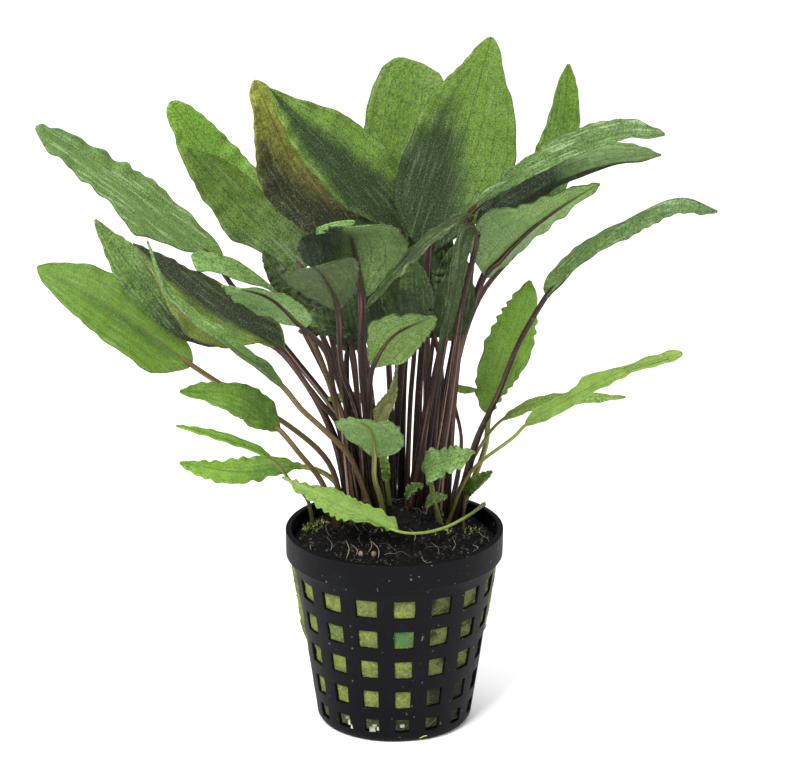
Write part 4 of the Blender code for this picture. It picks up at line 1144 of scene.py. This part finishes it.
def wool_radius(angle, z):
    """The wool's radius, with lumps, and with a strip on either side that bulges out of the holes."""
    place = Vector((math.cos(angle) * 6, math.sin(angle) * 6, z * 0.28))
    rough = Vector((math.cos(angle) * 30, math.sin(angle) * 30, z * 1.3))
    uneven = WOOL_LUMPS * noise.noise(place) + WOOL_ROUGHNESS * noise.noise(rough)
    bulge = 0.0
    for middle in STRIP_ANGLES:
        turn = (math.degrees(angle) - middle + 180) % 360 - 180
        near = max(0.0, 1 - (turn / STRIP_HALF) ** 2)
        begun = max(0.0, min(1.0, (z - STRIP_FROM) / 10))
        bulge += near * begun * max(0.0, min(1.0, (RIM_BOTTOM - z) / 2)) * STRIP_BULGE
    return body_radius(min(z, RIM_BOTTOM)) - WOOL_INSET + uneven + bulge


def wool_colour(sh, place):
    """Yellow-green wool with greener and browner lumps, dark where peat water has soaked in."""
    def between(value, edges, *shares):
        return sh.fade(value, edges[0] * MM, edges[1] * MM, *shares)

    lumps = sh.noise(place, 170.0, 3.0, 0.6)
    fine = sh.noise(place, 1300.0, 4.0, 0.7)
    colour = sh.mix(sh.fade(lumps, 0.4, 0.65), screen(*WOOL), screen(*WOOL_GREEN))
    colour = sh.mix(sh.fade(fine, 0.45, 0.75, 0.0, 0.75), colour, screen(*WOOL_DEEP))
    colour = sh.mix(sh.fade(fine, 0.5, 0.25, 0.0, 0.5), colour, screen(*WOOL_LIGHT))
    away = sh.add("ShaderNodeVectorMath", operation="DISTANCE")
    sh.put(away.inputs[0], place)
    away.inputs[1].default_value = [v * MM for v in GREEN_SPOT]
    colour = sh.mix(between(away.outputs["Value"], SPOT_REACH, 0.0, 0.85), colour, screen(*WOOL_SPOT))
    x, y, z = sh.parts(place)
    side = between(x, SOAKED_SIDE)
    low = between(z, SOAKED_LOW)
    foot = between(z, SOAKED_FOOT, 0.0, 0.55)
    blot = sh.fade(lumps, 0.38, 0.6, 0.1, 0.55)
    wet = sh.times(side, sh.plus(sh.plus(blot, 0.36), sh.times(low, 0.6)))
    wet = sh.math("MAXIMUM", wet, sh.plus(foot, sh.times(foot, blot)))
    soaked = sh.math("MINIMUM", sh.times(wet, between(y, SOAKED_FRONT)), 0.94)
    return sh.mix(soaked, colour, screen(*WOOL_SOAKED)), fine


def make_wool():
    """The plug of mineral wool that shows through the pot's holes."""
    mat, shader, sh = new_material("wool_mass")
    colour, fine = wool_colour(sh, sh.place())
    sh.dress(shader, colour, 0.95, 0.2, sh.bump(fine, 0.9, 0.0006))
    heights = np.linspace(BASE_THICKNESS + 0.3, WOOL_TOP, WOOL_ROWS)
    verts = []
    for z in heights:
        for j in range(WOOL_SIDES):
            angle = TURN * j / WOOL_SIDES
            r = wool_radius(angle, z)
            if z < BASE_CORNER + 1.5:
                r = min(r, BASE_RADIUS - POT_WALL - 0.2)
            verts.append(ring_point(r, angle, z))
    last = (WOOL_ROWS - 1) * WOOL_SIDES
    foot, top = len(verts), len(verts) + 1
    verts += [(0, 0, heights[0]), (0, 0, heights[-1])]
    faces = tube_faces(WOOL_ROWS, WOOL_SIDES)
    faces += fan(foot, 0, WOOL_SIDES, flipped=True) + fan(top, last, WOOL_SIDES)
    wool = mesh_object("wool_mass", verts, faces, mat)
    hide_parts("rock_wool")


def make_fibres():
    """Fine fibres that lie on the wool's surface."""
    rng = random.Random(SEEDS["fibres"])
    mat, shader, sh = new_material("wool_fibre")
    colour, fine = wool_colour(sh, sh.place())
    light = sh.mix(sh.times(sh.attribute("shade"), 0.3), colour, screen(*WOOL_FIBRE))
    sh.dress(shader, light, sh.plus(0.6, sh.times(fine, 0.3)))
    lines = []
    for _ in range(FIBRES):
        angle = rng.uniform(0, TURN)
        z = rng.uniform(4, WOOL_TOP - 2)
        turn, climb = rng.uniform(-0.05, 0.05), rng.uniform(-0.9, 0.9)
        points = []
        for step in range(FIBRE_STEPS):
            a, h = angle + turn * step, min(max(z + climb * step, FIBRE_LOWEST), WOOL_TOP)
            points.append(ring_point(wool_radius(a, h) + 0.05 + 0.1 * math.sin(step * 1.3 + angle * 9), a, h))
        lines.append((points, rng.uniform(0.05, 0.1), rng.random()))
    strands("wool_fibres", lines, mat)


# Soil

SOIL_RADIUS = 25.6
SOIL_RINGS = 64
SOIL_SIDES = 150
SOIL_EDGE_FROM = 22.5
SOIL_UNDER = 0.4
PEAT = (8, 8, 9)
PEAT_CRUMB = (32, 29, 25)
PEAT_LIGHT = (66, 62, 50)
GRAINS = 2600
GRAIN_REACH = 24.6
GRIT = 60
GRIT_SIZES = (0.08, 0.17)
CRUMB_SIZES = (0.2, 0.7)
ROOTS = 34
ROOT_STEPS = 9
ROOT_REACH = 24.5
UPRIGHT_ROOTS = ((-12, -13), (-9.5, -12), (-4, -14), (-6.5, -11), (14.5, -9), (11, -10), (-16, -9), (5, -6))
BULBS = ((-8.4, -11.6), (-5.2, -12.8))
BULB_ROWS = 9
BULB_SIDES = 14
# Moss: x, y, reach and number of leaflets, the first at the left of the rim
MOSS = ((-20.5, 7.5, 3.4, 260), (13, -1, 3.0, 60), (10, 9, 3.5, 60), (-4, 1, 4.0, 50), (19, 4, 2.5, 40))
MOSS_REACH = 24.8
STONE_SIDES = ((0, 1, 3, 2), (4, 6, 7, 5), (0, 4, 5, 1), (2, 3, 7, 6), (0, 2, 6, 4), (1, 5, 7, 3))
STONE_SQUASH = 0.7


def soil_top(x, y):
    """The soil's rough top: the mound, with crumbs and hollows."""
    coarse = noise.noise(Vector((x * 0.32, y * 0.32, 1.0)))
    fine = noise.noise(Vector((x * 1.1, y * 1.1, 4.0)))
    edge = max(0.0, (math.hypot(x, y) - SOIL_EDGE_FROM) / 3.0)
    return soil_height(x, y) + 0.7 * coarse + 0.35 * fine - 0.5 * edge


def make_soil():
    """The dark peat under the rim."""
    mat, shader, sh = new_material("peat_top")
    place = sh.place()
    crumbs = sh.noise(place, 420.0, 5.0, 0.7)
    fine = sh.noise(place, 1900.0, 3.0, 0.7)
    colour = sh.mix(sh.fade(crumbs, 0.45, 0.75), screen(*PEAT), screen(*PEAT_CRUMB))
    colour = sh.mix(sh.fade(fine, 0.6, 0.75, 0.0, 0.6), colour, screen(*PEAT_LIGHT))
    height = sh.plus(crumbs, sh.times(fine, 0.5))
    sh.dress(shader, colour, sh.plus(0.7, sh.times(fine, 0.3)), 0.1, sh.bump(height, 0.9, 0.0008))
    angles = [TURN * j / SOIL_SIDES for j in range(SOIL_SIDES)]
    verts = []
    for ring in range(1, SOIL_RINGS + 1):
        for angle in angles:
            x, y, _ = ring_point(SOIL_RADIUS * ring / SOIL_RINGS, angle, 0)
            verts.append((x, y, soil_top(x, y)))
    under = WOOL_TOP - SOIL_UNDER
    verts += [ring_point(BODY_TOP_RADIUS - POT_WALL - 0.1, angle, under) for angle in angles]
    top, foot = len(verts), len(verts) + 1
    verts += [(0, 0, soil_top(0, 0)), (0, 0, under)]
    faces = tube_faces(SOIL_RINGS + 1, SOIL_SIDES, flipped=True) + fan(top, 0, SOIL_SIDES)
    faces += fan(foot, SOIL_RINGS * SOIL_SIDES, SOIL_SIDES, flipped=True)
    soil = mesh_object("peat_top", verts, faces, mat)
    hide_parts("soil")


def stone(rng, centre, size):
    """The eight corners of a small uneven stone."""
    corners = []
    for x in (-1, 1):
        for y in (-1, 1):
            for z in (-1, 1):
                push = [rng.uniform(0.45, 0.75) * size for _ in range(3)]
                corners.append((centre[0] + x * push[0], centre[1] + y * push[1],
                                centre[2] + z * push[2] * STONE_SQUASH))
    return corners


def make_pale_bits():
    """Pale crumbs of grit caught in the wool behind the lowest holes."""
    rng = random.Random(SEEDS["pale bits"])
    pile = Pile()
    for degrees, z in PALE_BITS:
        angle, size = math.radians(degrees), rng.uniform(*PALE_SIZES)
        corners = stone(rng, ring_point(wool_radius(angle, z) - 0.1, angle, z), size)
        pile.add(corners, STONE_SIDES, rng.uniform(0.3, 0.9))
    pile.build("pale_grit", shaded_material("pale_grit", (70, 76, 60), (178, 182, 168), 0.8))


def make_grains():
    """Peat crumbs, with a little pale grit among them."""
    rng = random.Random(SEEDS["grains"])
    pile = Pile()
    for i in range(GRAINS):
        r, angle = GRAIN_REACH * math.sqrt(rng.random()), rng.uniform(0, TURN)
        x, y, _ = ring_point(r, angle, 0)
        pale = i < GRIT
        size = rng.uniform(*GRIT_SIZES) if pale else rng.uniform(*CRUMB_SIZES) * rng.uniform(0.5, 1.0)
        corners = stone(rng, (x, y, soil_top(x, y) + size * 0.3), size)
        pile.add(corners, STONE_SIDES, 0.9 if pale else rng.choice((0.0, 0.0, 0.05, 0.2)))
    pile.build("peat_crumbs", shaded_material("peat_crumbs", (9, 8, 8), (150, 144, 126), 0.8))


def make_roots():
    """Thin pale roots: some lie on the soil round the crown, and some stand up at its front."""
    rng = random.Random(SEEDS["roots"])
    lines = []
    for _ in range(ROOTS):
        r, angle = rng.uniform(6, 22), rng.uniform(0, TURN)
        x, y = r * math.cos(angle), 1 + r * math.sin(angle)
        heading, bend = rng.uniform(0, TURN), rng.uniform(-0.35, 0.35)
        length = rng.uniform(2.5, 9)
        points = []
        for share in np.linspace(0, 1, ROOT_STEPS):
            rise = rng.uniform(0.0, 0.3) + 1.1 * math.sin(share * math.pi) * rng.uniform(0.2, 1.0)
            if math.hypot(x, y) < ROOT_REACH:
                points.append((x, y, soil_top(x, y) + 0.1 + rise))
            x += length / (ROOT_STEPS - 1) * math.cos(heading)
            y += length / (ROOT_STEPS - 1) * math.sin(heading)
            heading += bend
        if len(points) > 3:
            lines.append((points, rng.uniform(0.035, 0.075), rng.uniform(0.0, 0.7)))
    for x, y in UPRIGHT_ROOTS:
        foot = soil_top(x, y) + 0.2
        reach, lean = rng.uniform(3, 5.5), rng.uniform(-0.5, 0.5)
        points = [(x + lean * s * 3 + 0.5 * math.sin(s * 5), y + s * 2.2, foot + reach * s * (1.2 - 0.5 * s))
                  for s in np.linspace(0, 1, ROOT_STEPS)]
        lines.append((points, rng.uniform(0.05, 0.09), rng.uniform(0.4, 0.8)))
    strands("fine_roots", lines, shaded_material("root_skin", (48, 44, 36), (168, 162, 144), 0.6))


def make_bulbs():
    """Two small bulbs that lie on the soil."""
    pile = Pile()
    for x, y in BULBS:
        verts = []
        for i in range(BULB_ROWS):
            up = math.pi * i / (BULB_ROWS - 1)
            for j in range(BULB_SIDES):
                turn = TURN * j / BULB_SIDES
                size = 0.62 + 0.1 * math.sin(3 * turn + x)
                wide = size * math.sin(up)
                verts.append((x + wide * math.cos(turn), y + wide * math.sin(turn),
                              soil_top(x, y) + 0.4 + 0.8 * math.cos(up)))
        pile.add(verts, tube_faces(BULB_ROWS, BULB_SIDES, flipped=True), 0.42)
    pile.build("small_bulbs", shaded_material("bulb_skin", (70, 56, 38), (168, 150, 112), 0.5), smooth=True)


def make_moss():
    """A tuft of moss at the left of the rim and small crumpled leaflets round the crown."""
    rng = random.Random(SEEDS["moss"])
    pile = Pile()
    for cx, cy, reach, count in MOSS:
        for _ in range(count):
            r, angle = reach * math.sqrt(rng.random()), rng.uniform(0, TURN)
            x, y = cx + r * math.cos(angle), cy + r * math.sin(angle)
            if math.hypot(x, y) > MOSS_REACH:
                continue
            base = np.array((x, y, soil_top(x, y) + rng.uniform(-0.1, 1.6) * (1 - r / reach)))
            heading = rng.uniform(0, TURN)
            size = rng.uniform(0.4, 1.0)
            ahead = np.array((math.cos(heading), math.sin(heading), rng.uniform(0.2, 1.2))) * size
            side = np.array((-math.sin(heading), math.cos(heading), rng.uniform(-0.3, 0.3))) * size * 0.32
            corners = [base, base + ahead * 0.5 + side, base + ahead, base + ahead * 0.5 - side]
            pile.add(corners, [(0, 1, 2, 3)], rng.random())
    pile.build("moss_tufts", shaded_material("moss_leaf", (34, 44, 24), (122, 130, 66), 0.6))


def make_thread():
    """A green thread of wool that lies at the foot of the pot."""
    points = [(1.5 + 0.75 * s, -17.9 - 0.15 * math.sin(s), 0.4 + 0.12 * s + 0.15 * math.sin(s * 1.7))
              for s in np.linspace(0, 9, 16)]
    strands("base_thread", [(points, 0.32, 0.8)],
            shaded_material("thread_skin", (96, 110, 44), (176, 188, 92), 0.6))


# Stage

WORLD_LIGHT = 0.42
FLOOR_HALF = 3000.0
LAMP_AIM = (0, 0, 0.09)
# Lamps: place, size and power
LAMPS = {
    "key": ((-0.45, -0.8, 0.9), 0.5, 22),
    "fill": ((0.7, -0.9, 0.5), 0.8, 6),
    "top": ((0.1, 0.2, 1.2), 0.6, 11),
}


def stand(name, data, at):
    """An object of the stage, put in the scene at a place in metres."""
    thing = bpy.data.objects.new(name, data)
    thing.location = at
    bpy.context.scene.collection.objects.link(thing)
    return thing


def make_camera():
    data = bpy.data.cameras.new("photo_camera")
    data.lens = CAMERA_LENS
    data.sensor_width = SENSOR_WIDTH
    camera = stand("photo_camera", data, CAMERA_AT)
    camera.rotation_euler = (math.radians(90 - CAMERA_DOWN), 0, 0)
    bpy.context.scene.camera = camera


def make_stage():
    """The plain pale floor and the soft light."""
    bpy.context.scene.view_settings.view_transform = "Standard"
    world = bpy.data.worlds.new("studio")
    world.use_nodes = True
    sky = world.node_tree.nodes["Background"].inputs
    sky["Color"].default_value = (1, 1, 1, 1)
    sky["Strength"].default_value = WORLD_LIGHT
    bpy.context.scene.world = world
    mat, shader, sh = new_material("floor_paint")
    shade = sh.noise(sh.place(), 6.0, 3.0)
    sh.put(shader.inputs["Base Color"], sh.mix(shade, screen(250, 250, 250), screen(246, 247, 247)))
    shader.inputs["Roughness"].default_value = 0.9
    half = FLOOR_HALF * MM
    mesh = bpy.data.meshes.new("floor")
    corners = [(-half, -half, 0), (half, -half, 0), (half, half, 0), (-half, half, 0)]
    mesh.from_pydata(corners, [], [(0, 1, 2, 3)])
    mesh.materials.append(mat)
    floor = stand("floor", mesh, (0, 0, 0))
    for name, (at, size, watts) in LAMPS.items():
        data = bpy.data.lights.new(name, "AREA")
        data.size = size
        data.energy = watts
        lamp = stand(name, data, at)
        lamp.rotation_euler = (Vector(LAMP_AIM) - Vector(at)).to_track_quat("-Z", "Y").to_euler()


def main():
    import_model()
    make_camera()
    make_stage()
    leaf_surface_group()
    make_pot()
    make_wool()
    make_fibres()
    make_soil()
    make_pale_bits()
    make_grains()
    make_roots()
    make_bulbs()
    make_moss()
    make_thread()
    crown = [leaf(*row[:-1], "deep", tone=row[-1], rib=CROWN_RIB) for row in CROWN] + CROWN_SMALL
    for index, spec in enumerate(LEAVES + crown):
        make_leaf(spec, index, packed=index < len(LEAVES))
    make_sheaths(LEAVES)


main()
